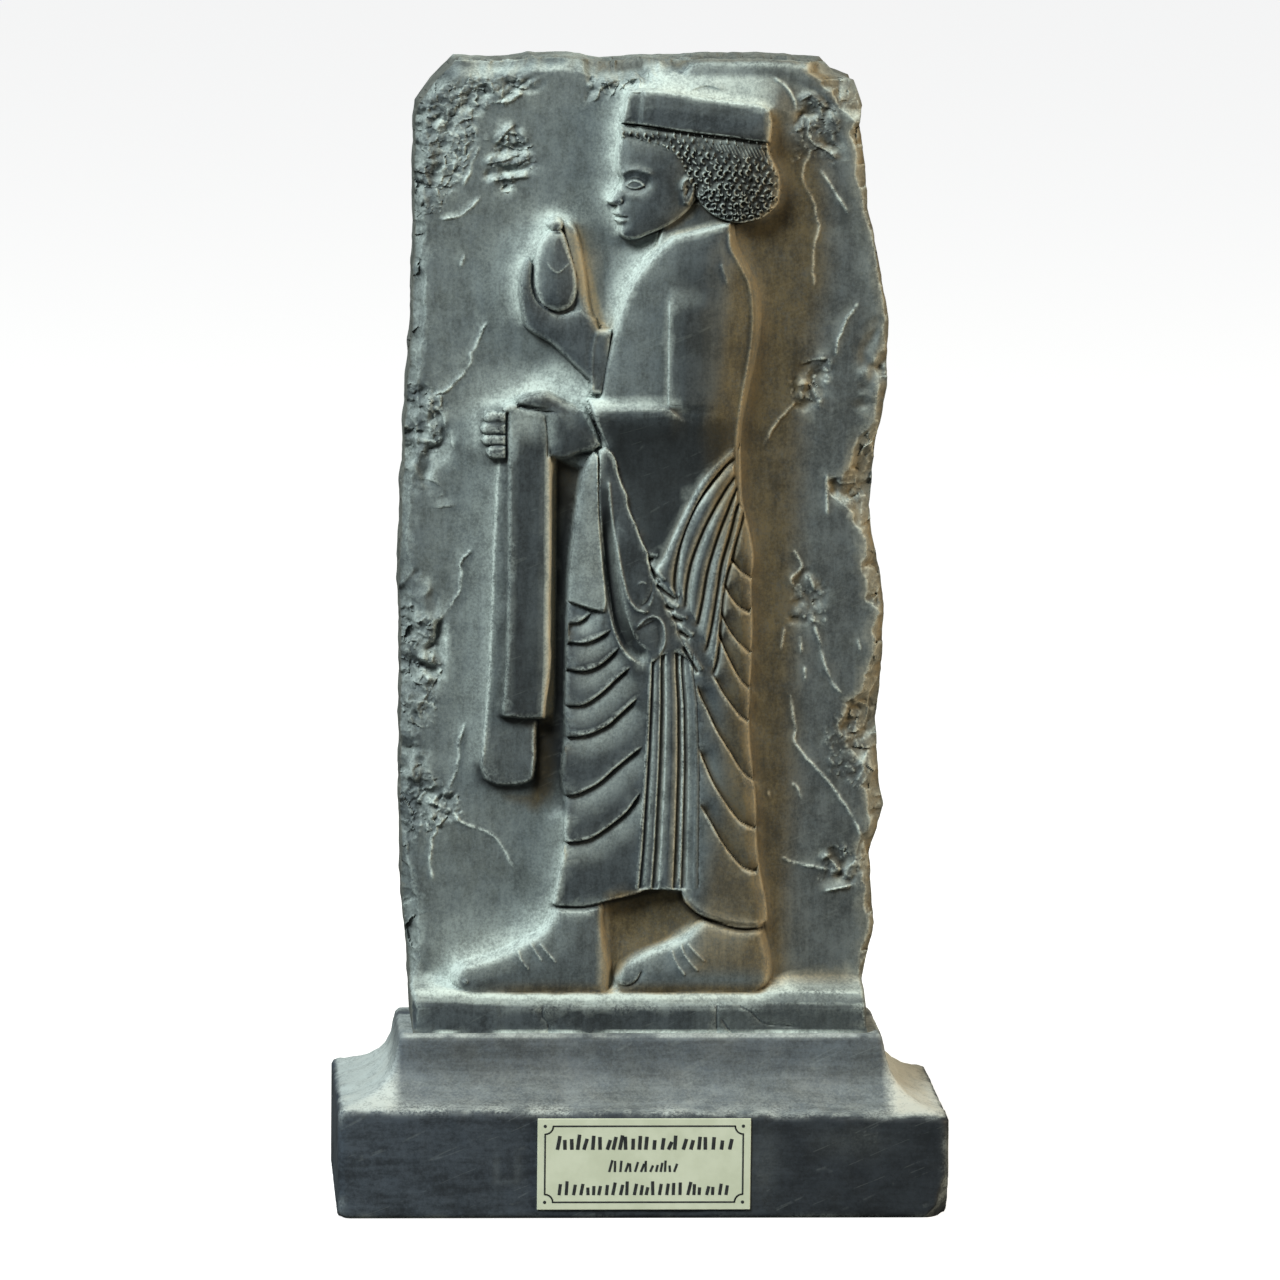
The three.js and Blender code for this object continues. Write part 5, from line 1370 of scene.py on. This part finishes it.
# Patches that the finish and its painted light and shade treat in their own way: each one's outline, and
# how far its edge fades
FINISH_PATCHES = {
    "trench": (TRENCH, 1.2),
    "above_hat": (ABOVE_HAT, 5),
    "hair": (HAIR, 1.0),
    "torso": (TORSO, 6),
    "sleeve": (SLEEVE_MIDDLE, 1),
    "drape": (SLEEVE_FRONT, 2),
    "towel": (TOWEL_FRONT, 1.5),
    "raised_arm": (RAISED_ARM, 1),
    "thumb": (THUMB, 1),
    "front_foot": (FRONT_FOOT, 2),
    "rear_foot": (REAR_FOOT, 2),
    "heel": (outline_of([(-10.6, 76), (-10.4, 53)], [(-6.6, 53), (-8.4, 76)]), 1.2),
    "under_hem": (outline_of(
        [(-9, 54), (-9, 76), (0, 79), (10.6, 77), (15, 72)], [(6, 66), (-2, 62), (-5.4, 58)]), 2),
    "under_towel": (outline_of(
        [(-27.4, 120.4), (-27.4, 104), (-34, 102)], [(-26, 99), (-22.6, 104), (-22.4, 120.4)]), 3),
    "beside_towel": (outline_of([(-43, 104), (-41, 186)], [(-36.9, 186), (-39, 104)]), 2),
    "towel_left": (outline_of([(-36.6, 121), (-35.6, 186)], [(-32.6, 186), (-33, 121)]), 1),
    "towel_side": (outline_of([(-26.6, 101), (-25.4, 122), (-25.2, 194)], [(-22, 186), (-22, 100)]), 1),
    "towel_top": (outline_of([(-34, 199.6), (-25.4, 199.6)], [(-25.4, 194), (-34, 192)]), 6),
    "robe_edge": (outline_of([(-25, 190), (-25, 98)], [(-17, 98), (-16.4, 150), (-13, 190)]), 3),
    "trough": (outline_of(
        [(-10.8, 180), (-10.4, 166), (-9.2, 156), (-7, 146), (-3.6, 140)],
        [(-1.6, 143), (-5.2, 150), (-7, 160), (-8.2, 170), (-9.2, 180)]), 1.4),
    "recess": (outline_of(
        [(-12, 197), (22, 197)], [(21, 190.4), (13, 182), (9, 175), (4, 163), (1, 165)],
        [(-4, 178), (-8, 189.6)]), 4),
    "upper_arm": (outline_of([(5, 200), (5, 230), (10, 236)], [(18, 236), (20, 200)]), 5),
    "arm_top": (outline_of(
        [(-14, 201), (-12, 202.6), (5.4, 203.2), (9, 200.6)], [(8.6, 199.4), (4.6, 201), (-12, 200.2)]),
        1.4),
    "above_hand": (outline_of([(-30, 205), (-22, 211), (-15, 207)], [(-15, 202), (-24, 204.6)]), 7),
    "fingers": (outline_of([(-42, 200), (-35, 200.5)], [(-35, 186), (-41, 186)]), 1.5),
    "hand_back": (outline_of([(-22, 197), (-13, 197)], [(-11, 189), (-22, 187)]), 5),
    "hand_side": (outline_of([(-24.6, 198), (-24.4, 190)], [(-22.8, 190), (-22.6, 198)]), 1),
    "finger_side": (outline_of([(-18.8, 247), (-15.4, 222), (-9, 214)], [(-8.6, 222), (-12.6, 248)]), 2),
    "far_fingers": (outline_of(
        [(-21.6, 246), (-19, 236), (-16, 226), (-12.6, 219)], [(-9.8, 219), (-13, 230), (-16.4, 242)]),
        1.5),
}
# The towel's lower edges, behind and in front, where a painted shadow line lies: each with the line's width
TOWEL_ENDS = (
    (((-41, 109.6), (-39.4, 106), (-33, 104.5), (-29, 105), (-26.4, 107.6)), 1.5),
    (((-36, 122.4), (-30, 121.5), (-23.4, 121.9)), 1.3),
)
# The painted brown shade behind the figure's back: heights, and there where it starts and where it ends
BROWN_SHADE_STARTS = ((60, 10), (100, 17), (130, 17), (160, 17), (195, 11), (205, 15), (240, 18))
BROWN_SHADE_ENDS = ((60, 30), (100, 33), (160, 33), (200, 34), (235, 40), (262, 38))


def finish_places():
    """Masks over the grid, by name, of the places that the finish and its painted light and shade treat in
    their own way.
    """
    on = SimpleNamespace(**{name: patch(*shape) for name, shape in FINISH_PATCHES.items()})
    on.above_ledge = rising(grid_z, ledge_high - 0.4, 0.8)
    on.step_face = falling(grid_z, ledge_low - 0.64, 0.8)
    on.ledge = (1 - on.step_face) * (1 - on.above_ledge)
    on.ledge_right = rising(grid_x, 36, 5) * falling(grid_z, 60, 6)
    on.ground = np.clip(1 - blurred(figure, 1.5), 0, 1) * on.above_ledge
    on.seam = np.clip(1.4 - (grid_z - SLAB_FOOT) / 0.7, 0, 1)
    on.seam = on.seam * eased(1.2 * cloud(grid_x, 0 * grid_x, 0 * grid_x, 5, 83) + 0.7)
    on.trench = on.trench * rising(grid_z, 97, 16)
    on.chest = on.torso * falling(grid_x, 2, 8) * rising(grid_z, 200, 3)
    on.towel_top = on.towel_top * on.towel
    on.raised_hand = on.raised_arm + on.thumb
    on.feet = on.front_foot + on.rear_foot
    on.soles = on.feet * on.above_ledge * falling(grid_z, 53.4, 3.4) * rising(grid_x, -46, 20)
    on.hems = np.maximum(*[line_mask(hem, 0.7) for hem in ROBE_HEMS])
    on.towel_ends = np.maximum(*[line_mask(*end) for end in TOWEL_ENDS])
    on.robe_front = (1 - on.ground) * falling(grid_x, -2, 6) * falling(grid_z, 140, 10) * (1 - on.feet)
    on.robe_behind = (1 - on.ground) * rising(grid_x, 12, 4) * falling(grid_z, 110, 20)
    on.along_robe = falling(grid_z, 98, 10) * rising(grid_z, 74, 4) * falling(grid_x, -12, 8)
    on.over_hat = rising(grid_z, 281, 1.5) * rising(grid_x, 2, 5)
    on.near_left = falling(grid_x, edge_left + 3.5, 3)
    on.near_right = falling(edge_right - grid_x, 3, 4)
    on.near_top = rising(grid_z, 279.5, 2) * falling(grid_x, -2, 4)
    on.top_band = rising(grid_z, 280.5, 1.5) * rising(grid_x, -48, 3) * falling(grid_x, -18, 4)
    on.warm_side = np.clip(rising(grid_x, -1, 9) + on.towel_side + on.finger_side, 0, 1)
    on.wash = rising(grid_x, read_off(BROWN_SHADE_STARTS, grid_z), 6)
    on.wash = on.wash * falling(grid_x, read_off(BROWN_SHADE_ENDS, grid_z), 9)
    on.wash = on.wash * rising(grid_z, 56, 5) * falling(grid_z, 258, 14) * (1 - 0.6 * on.hair)
    return on


def dust_and_highlight_on(on, toward_light, away):
    """Pale dust and painted highlights: painted light on slopes that face up and to the light, pale on the
    ledge, thin dust on the ground, tan painted warm light on slopes facing away.
    """
    # Painted highlight: slopes that face the key light turn pale, most on the ground near the figure
    strength = 1.1 + 1.9 * on.ground * (1 - 0.8 * chipped) * (1 - 0.8 * on.near_left)
    dust_and_highlight = 0.75 * (1 - np.exp(-toward_light * strength)) * on.above_ledge
    dust_and_highlight = dust_and_highlight * (1 - on.robe_edge) * (1 - 0.7 * on.wash * on.ground)
    dust_and_highlight = dust_and_highlight * (1 - 0.65 * on.fingers) * (1 - 0.8 * on.towel_left) * (1 - 0.65 * on.near_top)
    dust_and_highlight = dust_and_highlight * (1 - 0.7 * on.along_robe * on.ground) * (1 - 0.6 * on.ledge_right)
    dust_and_highlight = dust_and_highlight * (1 - 0.5 * on.beside_towel) * (1 - 0.75 * on.over_hat)
    dust_and_highlight = dust_and_highlight * (1 + on.top_band * (1.3 * cloud(grid_x * 0.2, 0 * grid_x, grid_z, 1.2, 89) - 0.1))
    # Thin dust on the ground, fading toward the right as painted light falling off from the left; painted
    # highlights on the drape, the chest and a halo above the lower hand
    thin = np.interp(grid_x, (-60, -20, 25, 60), (0.13, 0.13, 0.05, 0.01))
    dust_and_highlight = dust_and_highlight + thin * on.ground * (1 - on.wash) + 0.24 * on.drape + 0.06 * on.chest + 0.5 * on.above_hand
    # Painted warm light on slopes that face away on the figure's right; painted highlights on the arm's
    # top, the towel's top and the far fingers
    dust_and_highlight = dust_and_highlight + 0.3 * away ** 2 * on.warm_side
    dust_and_highlight = dust_and_highlight * (1 - 0.75 * on.raised_hand) + 0.3 * (on.arm_top + on.towel_top + on.far_fingers)
    dust_and_highlight = dust_and_highlight + 0.2 * on.hand_side + 0.08 * on.near_right * on.above_ledge
    # Painted shade keeps the pale out of the trench, from under the hem, the recess and the trough
    dust_and_highlight = dust_and_highlight * (1 - on.trench) * (1 - 0.85 * on.under_hem) * (1 - 0.8 * on.recess)
    dust_and_highlight = dust_and_highlight * (1 - 0.5 * on.near_left) * (1 - 0.7 * on.trough)
    # The up-facing ledge is pale with dust and painted light, dimmer toward the right
    crest = 0.4 + 0.6 * rising(grid_z, ledge_low + 0.5, 1.1)
    dust_and_highlight = dust_and_highlight + on.ledge * crest * np.interp(grid_x, (-57, -40, 27, 34, 57), (0.8, 0.9, 0.9, 0.3, 0.12))
    # Painted warm light on the towel's right slope; painted shade keeps the pale off under the towel, the
    # soles, the hems and the towel's lower edges
    dust_and_highlight = (dust_and_highlight + 0.6 * on.towel_side * away) * (1 - 0.8 * on.under_towel) * (1 - 0.7 * on.soles)
    dust_and_highlight = dust_and_highlight + 0.8 * on.seam + 0.3 * on.heel * on.above_ledge
    dust_and_highlight = dust_and_highlight + 0.045 * on.feet * (1 - on.soles) + 0.04 * on.robe_behind
    return dust_and_highlight * (1 - 0.85 * on.hems) * (1 - 0.9 * on.towel_ends)


def worn_on(on):
    """Bare pale stone along the sharpest edges and the veins."""
    fine = blurred(proud, 0.45 * cells_per_mm)
    worn = np.clip((proud - fine) * 4.5 - 0.15, 0, 0.75)
    worn = worn * (1 - 0.6 * on.towel) * (1 - 0.4 * on.recess) * (1 - 0.8 * on.robe_edge)
    worn = worn * (1 - 0.6 * on.near_left) * (1 - 0.5 * on.near_top) * (1 - on.hems)
    worn = worn * (1 - 0.9 * on.towel_ends) * (1 - 0.6 * on.raised_hand)
    return worn + on_veins * np.interp(grid_x, (0, 30), (0.8, 0.55))


def earth_and_shade_on(on, hollow, away):
    """Brown earth in the hollows, and painted warm shade on slopes away from the light, behind the figure's
    back and under the hem, towel and feet.
    """
    upper_trench = on.trench * rising(grid_z, 165, 20)
    # Painted warm shade on slopes facing away and behind the back, brown earth in the hollows, painted
    # shade under the hem, the far fingers and in the upper trench
    earth_and_shade = on.warm_side * (0.8 * away + 0.7 * hollow) * (1 - 0.3 * on.near_right) + 0.8 * on.wash
    earth_and_shade = earth_and_shade + on.under_hem + 0.7 * on.far_fingers - 0.8 * on.step_face + 0.8 * upper_trench
    earth_and_shade = earth_and_shade + 0.8 * on.under_towel + 0.9 * on.soles + 0.7 * on.heel * on.above_ledge
    return earth_and_shade + 0.12 * on.ground * rising(grid_x, 25, 10)


def rubbed_and_shaded_on(on, hollow):
    """Darker stone, where little of the pale finish has stayed, and painted shade in the trench, recess,
    hollows and curls and under the hems and towel.
    """
    # Painted shade in the trench, the recess under the arm and the hollows, and on forms that face down and
    # away from the light
    rubbed_and_shaded = 1.3 * on.trench + 0.6 * on.recess + 0.25 * on.sleeve + 0.3 * on.towel + 0.55 * hollow
    rubbed_and_shaded = rubbed_and_shaded - 0.4 * on.drape + 0.3 * on.upper_arm + 0.75 * on.trough + 0.35 * on.hand_back
    rubbed_and_shaded = rubbed_and_shaded - 0.5 * on.towel_top + 0.28 * on.wash * on.ground + 0.3 * on.under_towel
    # Painted shadow lines under the hems and the towel's lower edges, and painted shade between the curls
    rubbed_and_shaded = rubbed_and_shaded * (1 - 0.5 * on.trench * rising(grid_z, 165, 20)) + 0.9 * on.hems + 0.5 * on.towel_ends
    rubbed_and_shaded = rubbed_and_shaded + 0.16 * on.robe_front - 0.15 * on.feet + 0.8 * on.hair
    # Painted shade: the step's face grows darker toward the right
    rubbed_and_shaded = rubbed_and_shaded + on.step_face * np.interp(grid_x, (-40, 40), (-0.12, 0.42))
    return rubbed_and_shaded + 0.16 * (1 - on.ground) * (1 - on.chest)


def slab_masks():
    """Where the carving is worn pale, dusted pale, stained with brown earth and rubbed dark, and where
    light and shade are painted.
    """
    on = finish_places()
    soft = blurred(proud, 0.7 * cells_per_mm)
    rise_x = np.gradient(soft, axis=1) / np.gradient(grid_x, axis=1)
    rise_z = np.gradient(soft, axis=0) / np.gradient(grid_z, axis=0)
    toward_light = np.clip(0.55 * rise_x - 0.83 * rise_z, 0, None)
    away = 1 - np.exp(-2.2 * np.clip(-rise_x - 0.9 * np.clip(-rise_z, 0, None), 0, None))
    # How deep each place lies below its surroundings, for brown earth and painted shade in the hollows
    hollow = np.clip((blurred(proud, 1.6 * cells_per_mm) - proud) * 0.9, 0, 1) * (1 - 0.8 * on.above_hat)
    return {"worn": worn_on(on), "dust_and_highlight": dust_and_highlight_on(on, toward_light, away),
            "earth_and_shade": earth_and_shade_on(on, hollow, away), "rubbed_and_shaded": rubbed_and_shaded_on(on, hollow)}


def finish_slab(mesh, masks):
    """Thins the triangles where the casting is plain, then marks its patina and painted light and shade."""
    piece = bpy.data.objects.new("thinning", mesh)
    bpy.context.scene.collection.objects.link(piece)
    triangles = sum(len(face.vertices) - 2 for face in mesh.polygons)
    thin = piece.modifiers.new("thin", "DECIMATE")
    thin.ratio = min(1.0, SLAB_TRIANGLES / triangles)
    thin.use_collapse_triangulate = True
    evaluated = piece.evaluated_get(bpy.context.evaluated_depsgraph_get())
    thinned = bpy.data.meshes.new_from_object(evaluated)
    bpy.data.objects.remove(piece)
    x, y, z = places_of(thinned).T
    z = z - top_rise(x, z)
    left, right = along_edge(SLAB_LEFT_EDGE, z), along_edge(SLAB_RIGHT_EDGE, z)
    on_rim = (x < left + 0.03) | (x > right - 0.03) | (z > SLAB_TOP - 0.1)
    front = np.where(on_rim, 0, np.clip((-y - 2) / 3, 0, 1))
    # The broken top is pale with dust and painted light, paler toward the left; the sides take flat values
    on_top = np.clip(z - SLAB_TOP + 1, 0, 1) * np.interp(x, (-20, 20), (1, 0.25))
    on_top = on_top * (0.5 + 0.4 * rough(x, y, 0 * z, 9, 97))
    sides = {"worn": 0.0, "dust_and_highlight": 0.15 + 0.6 * on_top,
             "earth_and_shade": 0.3 * (1 - on_top), "rubbed_and_shaded": 0.2 * (1 - on_top)}
    for name, values in masks.items():
        add_mask(thinned, name, mask_at(values, x, z) * front + sides[name] * (1 - front))
    return thinned


# The rubbed-on finish, with its painted light and shade, is a thin layer of its own, which keeps the mesh
# fine along its edges
patina_and_light = {name: np.clip(values, 0, 1) for name, values in slab_masks().items()}
proud += 0.05 * patina_and_light["dust_and_highlight"] + 0.03 * patina_and_light["worn"] - 0.02 * patina_and_light["rubbed_and_shaded"]
slab_mesh = finish_slab(make_slab_mesh(), patina_and_light)


relief_stone = stone_material(
    "relief_slate", stone=(0.05, 0.062, 0.07), dust_and_highlight=(0.52, 0.6, 0.57), earth_and_shade=(0.088, 0.068, 0.034),
    warm_lit_tan=(0.36, 0.29, 0.18), streak_scale=(1, 1, 0.25), grain=1300.0, bump_height=0.00003, scratched=0.04)
add_piece("carved_slab", slab_mesh, relief_stone, "relief_slab")


# The name plate
#
# A thin printed card glued to the block's front: a cream ground, a dark border line with hollow
# corners and a dot in each, and three rows of plain strokes where the words would be.

plate_low, plate_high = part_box("name_plate")
PLATE_WIDTH = (plate_high.x - plate_low.x) / MM
PLATE_HEIGHT = (plate_high.z - plate_low.z) / MM
PLATE_BACK = plate_high.y / MM
PLATE_FACE = plate_low.y / MM
PLATE_MIDDLE_Z = (plate_low.z + plate_high.z) / MM / 2
BORDER_INSET, BORDER_LINE, NOTCH = 1.9, 0.42, 2.0
DOT_RADIUS = 0.42
INK_HEIGHT = 0.03
CARD_BEVEL = 0.12
# Rows of strokes: their foot above the plate's middle, their reach from left to right, how tall, how thick
STROKE_ROWS = ((3.9, -21.5, 22, 3.4, 0.9), (-1.8, -8.6, 9, 2.8, 0.6), (-7.6, -21, 21.4, 3.4, 0.8))
ARC_STEPS = 6


def add_box(shape, low, high, material_index):
    made = bmesh.ops.create_cube(shape, size=1.0)["verts"]
    size = Vector(high) - Vector(low)
    middle = (Vector(high) + Vector(low)) / 2
    bmesh.ops.scale(shape, vec=size, verts=made)
    bmesh.ops.translate(shape, vec=middle, verts=made)
    for face in {face for vertex in made for face in vertex.link_faces}:
        face.material_index = material_index
    return made


def add_stroke(shape, start, end, thick):
    """A printed stroke on the plate's face, from one place to another."""
    run_x, run_z = end[0] - start[0], end[1] - start[1]
    half_length = math.hypot(run_x, run_z) / 2
    low = (-half_length - thick / 4, PLATE_FACE, -thick / 2)
    high = (half_length + thick / 4, PLATE_FACE + 2 * INK_HEIGHT, thick / 2)
    bar = add_box(shape, low, high, 1)
    turn = Matrix.Rotation(-math.atan2(run_z, run_x), 3, "Y")
    bmesh.ops.rotate(shape, verts=bar, cent=(0, 0, 0), matrix=turn)
    middle = ((start[0] + end[0]) / 2, 0, (start[1] + end[1]) / 2)
    bmesh.ops.translate(shape, verts=bar, vec=middle)


def make_plate_mesh():
    shape = bmesh.new()
    card = add_box(
        shape, (-PLATE_WIDTH / 2, PLATE_FACE + INK_HEIGHT, -PLATE_HEIGHT / 2),
        (PLATE_WIDTH / 2, PLATE_BACK, PLATE_HEIGHT / 2), 0)
    edges = list({edge for vertex in card for edge in vertex.link_edges})
    bmesh.ops.bevel(
        shape, geom=edges, offset=CARD_BEVEL, segments=2, profile=0.5, affect="EDGES", material=-1)
    half_x, half_z = PLATE_WIDTH / 2 - BORDER_INSET, PLATE_HEIGHT / 2 - BORDER_INSET
    for side in (-1, 1):
        add_stroke(shape, (-half_x + NOTCH, side * half_z), (half_x - NOTCH, side * half_z), BORDER_LINE)
        add_stroke(shape, (side * half_x, -half_z + NOTCH), (side * half_x, half_z - NOTCH), BORDER_LINE)
    chance = np.random.default_rng(5)
    for foot, start, end, tall, thick in STROKE_ROWS:
        x = start
        while x < end:
            top = foot + tall * chance.uniform(0.45, 1.0)
            add_stroke(shape, (x, foot), (x + chance.uniform(-0.1, 0.7), top), thick)
            x += chance.uniform(1.4, 2.3) * thick + 0.15
    for side_x in (-1, 1):
        for side_z in (-1, 1):
            arc = [
                (side_x * (half_x - NOTCH * math.cos(turn)), side_z * (half_z - NOTCH * math.sin(turn)))
                for turn in np.linspace(0, math.pi / 2, ARC_STEPS + 1)]
            for start, end in zip(arc, arc[1:]):
                add_stroke(shape, start, end, BORDER_LINE)
            dot = bmesh.ops.create_cone(
                shape, cap_ends=True, segments=16, radius1=DOT_RADIUS, radius2=DOT_RADIUS,
                depth=INK_HEIGHT * 2)["verts"]
            bmesh.ops.rotate(shape, verts=dot, cent=(0, 0, 0), matrix=Matrix.Rotation(math.pi / 2, 3, "X"))
            place = (side_x * half_x, PLATE_FACE + INK_HEIGHT, side_z * half_z)
            bmesh.ops.translate(shape, verts=dot, vec=place)
            for face in {face for vertex in dot for face in vertex.link_faces}:
                face.material_index = 1
    bmesh.ops.translate(shape, verts=shape.verts, vec=(0, 0, PLATE_MIDDLE_Z))
    bmesh.ops.scale(shape, vec=(MM, MM, MM), verts=shape.verts)
    bmesh.ops.recalc_face_normals(shape, faces=shape.faces)
    mesh = bpy.data.meshes.new("printed_card")
    shape.to_mesh(mesh)
    shape.free()
    return mesh


def mottled_print(name, grain, darker, paler, roughness):
    """A printed surface whose colour wavers between two; gives the material and the wavering value."""
    material = bpy.data.materials.new(name)
    material.use_nodes = True
    tree = material.node_tree
    shader = tree.nodes["Principled BSDF"]
    coordinates = tree.nodes.new("ShaderNodeTexCoord").outputs["Object"]
    mottle = ramp_node(tree, noise_node(tree, coordinates, grain), 0.3, 0.7)
    tree.links.new(mix_node(tree, mottle, (*darker, 1), (*paler, 1)), shader.inputs["Base Color"])
    shader.inputs["Roughness"].default_value = roughness
    return material, mottle


cream_card, card_mottle = mottled_print("cream_card", 160.0, (0.53, 0.57, 0.44), (0.6, 0.64, 0.51), 0.35)
card_tree = cream_card.node_tree
card_roughness = math_node(card_tree, "ADD", math_node(card_tree, "MULTIPLY", card_mottle, 0.1), 0.35)
card_tree.links.new(card_roughness, card_tree.nodes["Principled BSDF"].inputs["Roughness"])
black_ink, _ = mottled_print("black_ink", 900.0, (0.012, 0.014, 0.016), (0.03, 0.033, 0.034), 0.45)

plate_mesh = make_plate_mesh()
add_piece("printed_plate_card", plate_mesh, cream_card, "name_plate")
plate_mesh.materials.append(black_ink)
plate_mesh.shade_flat()


# The studio
#
# A pale floor, a broad cool key light from the upper left, a weak warm fill from the right, and the
# camera at the photograph's place.

CAMERA_DISTANCE = 2.2
CAMERA_AZIMUTH, CAMERA_ELEVATION, CAMERA_ROLL = math.radians(-3.4), math.radians(8.2), math.radians(0.6)
CAMERA_TARGET = Vector((-0.00025, 0, 0.14025))
CAMERA_LENS = 247.5


def add_camera():
    camera = bpy.data.objects.new("camera", bpy.data.cameras.new("camera"))
    bpy.context.scene.collection.objects.link(camera)
    camera.data.sensor_width = 36
    camera.data.lens = CAMERA_LENS
    level, up = math.cos(CAMERA_ELEVATION), math.sin(CAMERA_ELEVATION)
    back = Vector((math.sin(CAMERA_AZIMUTH) * level, -math.cos(CAMERA_AZIMUTH) * level, up))
    camera.location = CAMERA_TARGET + back * CAMERA_DISTANCE
    camera.rotation_mode = "QUATERNION"
    camera.rotation_quaternion = Quaternion(-back, -CAMERA_ROLL) @ (-back).to_track_quat("-Z", "Y")
    camera.data.clip_start, camera.data.clip_end = 0.1, 100
    bpy.context.scene.camera = camera


def add_area_light(name, place, size, watts, colour):
    light = bpy.data.lights.new(name, "AREA")
    light.shape = "DISK"
    light.size = size
    light.energy = watts
    light.color = colour
    lamp = bpy.data.objects.new(name, light)
    lamp.location = place
    lamp.rotation_mode = "QUATERNION"
    lamp.rotation_quaternion = (Vector((0, 0, 0.15)) - Vector(place)).to_track_quat("-Z", "Y")
    bpy.context.scene.collection.objects.link(lamp)


def add_floor():
    shape = bmesh.new()
    bmesh.ops.create_grid(shape, x_segments=2, y_segments=2, size=15.0)
    mesh = bpy.data.meshes.new("floor")
    shape.to_mesh(mesh)
    shape.free()
    material = bpy.data.materials.new("pale_floor")
    material.use_nodes = True
    tree = material.node_tree
    shader = tree.nodes["Principled BSDF"]
    shader.inputs["Roughness"].default_value = 0.9
    shader.inputs["Specular IOR Level"].default_value = 0.1
    path = tree.nodes.new("ShaderNodeLightPath")
    seen = path.outputs["Is Camera Ray"]
    tone = mix_node(tree, seen, (0.14, 0.14, 0.13, 1), (0.5, 0.5, 0.5, 1))
    tree.links.new(tone, shader.inputs["Base Color"])
    shader.inputs["Emission Color"].default_value = (1, 1, 1, 1)
    tree.links.new(math_node(tree, "MULTIPLY", seen, 0.85), shader.inputs["Emission Strength"])
    mesh.materials.append(material)
    floor = bpy.data.objects.new("floor", mesh)
    bpy.context.scene.collection.objects.link(floor)


add_camera()
add_floor()
add_area_light("key", (-0.95, -1.1, 1.5), 0.7, 56, (0.93, 1.0, 0.98))
add_area_light("warm_fill", (1.45, -0.36, 0.7), 0.6, 24, (1.0, 0.85, 0.62))
world = bpy.data.worlds.new("studio")
world.use_nodes = True
world.node_tree.nodes["Background"].inputs["Color"].default_value = (0.85, 0.92, 1.0, 1)
world.node_tree.nodes["Background"].inputs["Strength"].default_value = 0.08
bpy.context.scene.world = world
bpy.context.scene.view_settings.view_transform = "Standard"
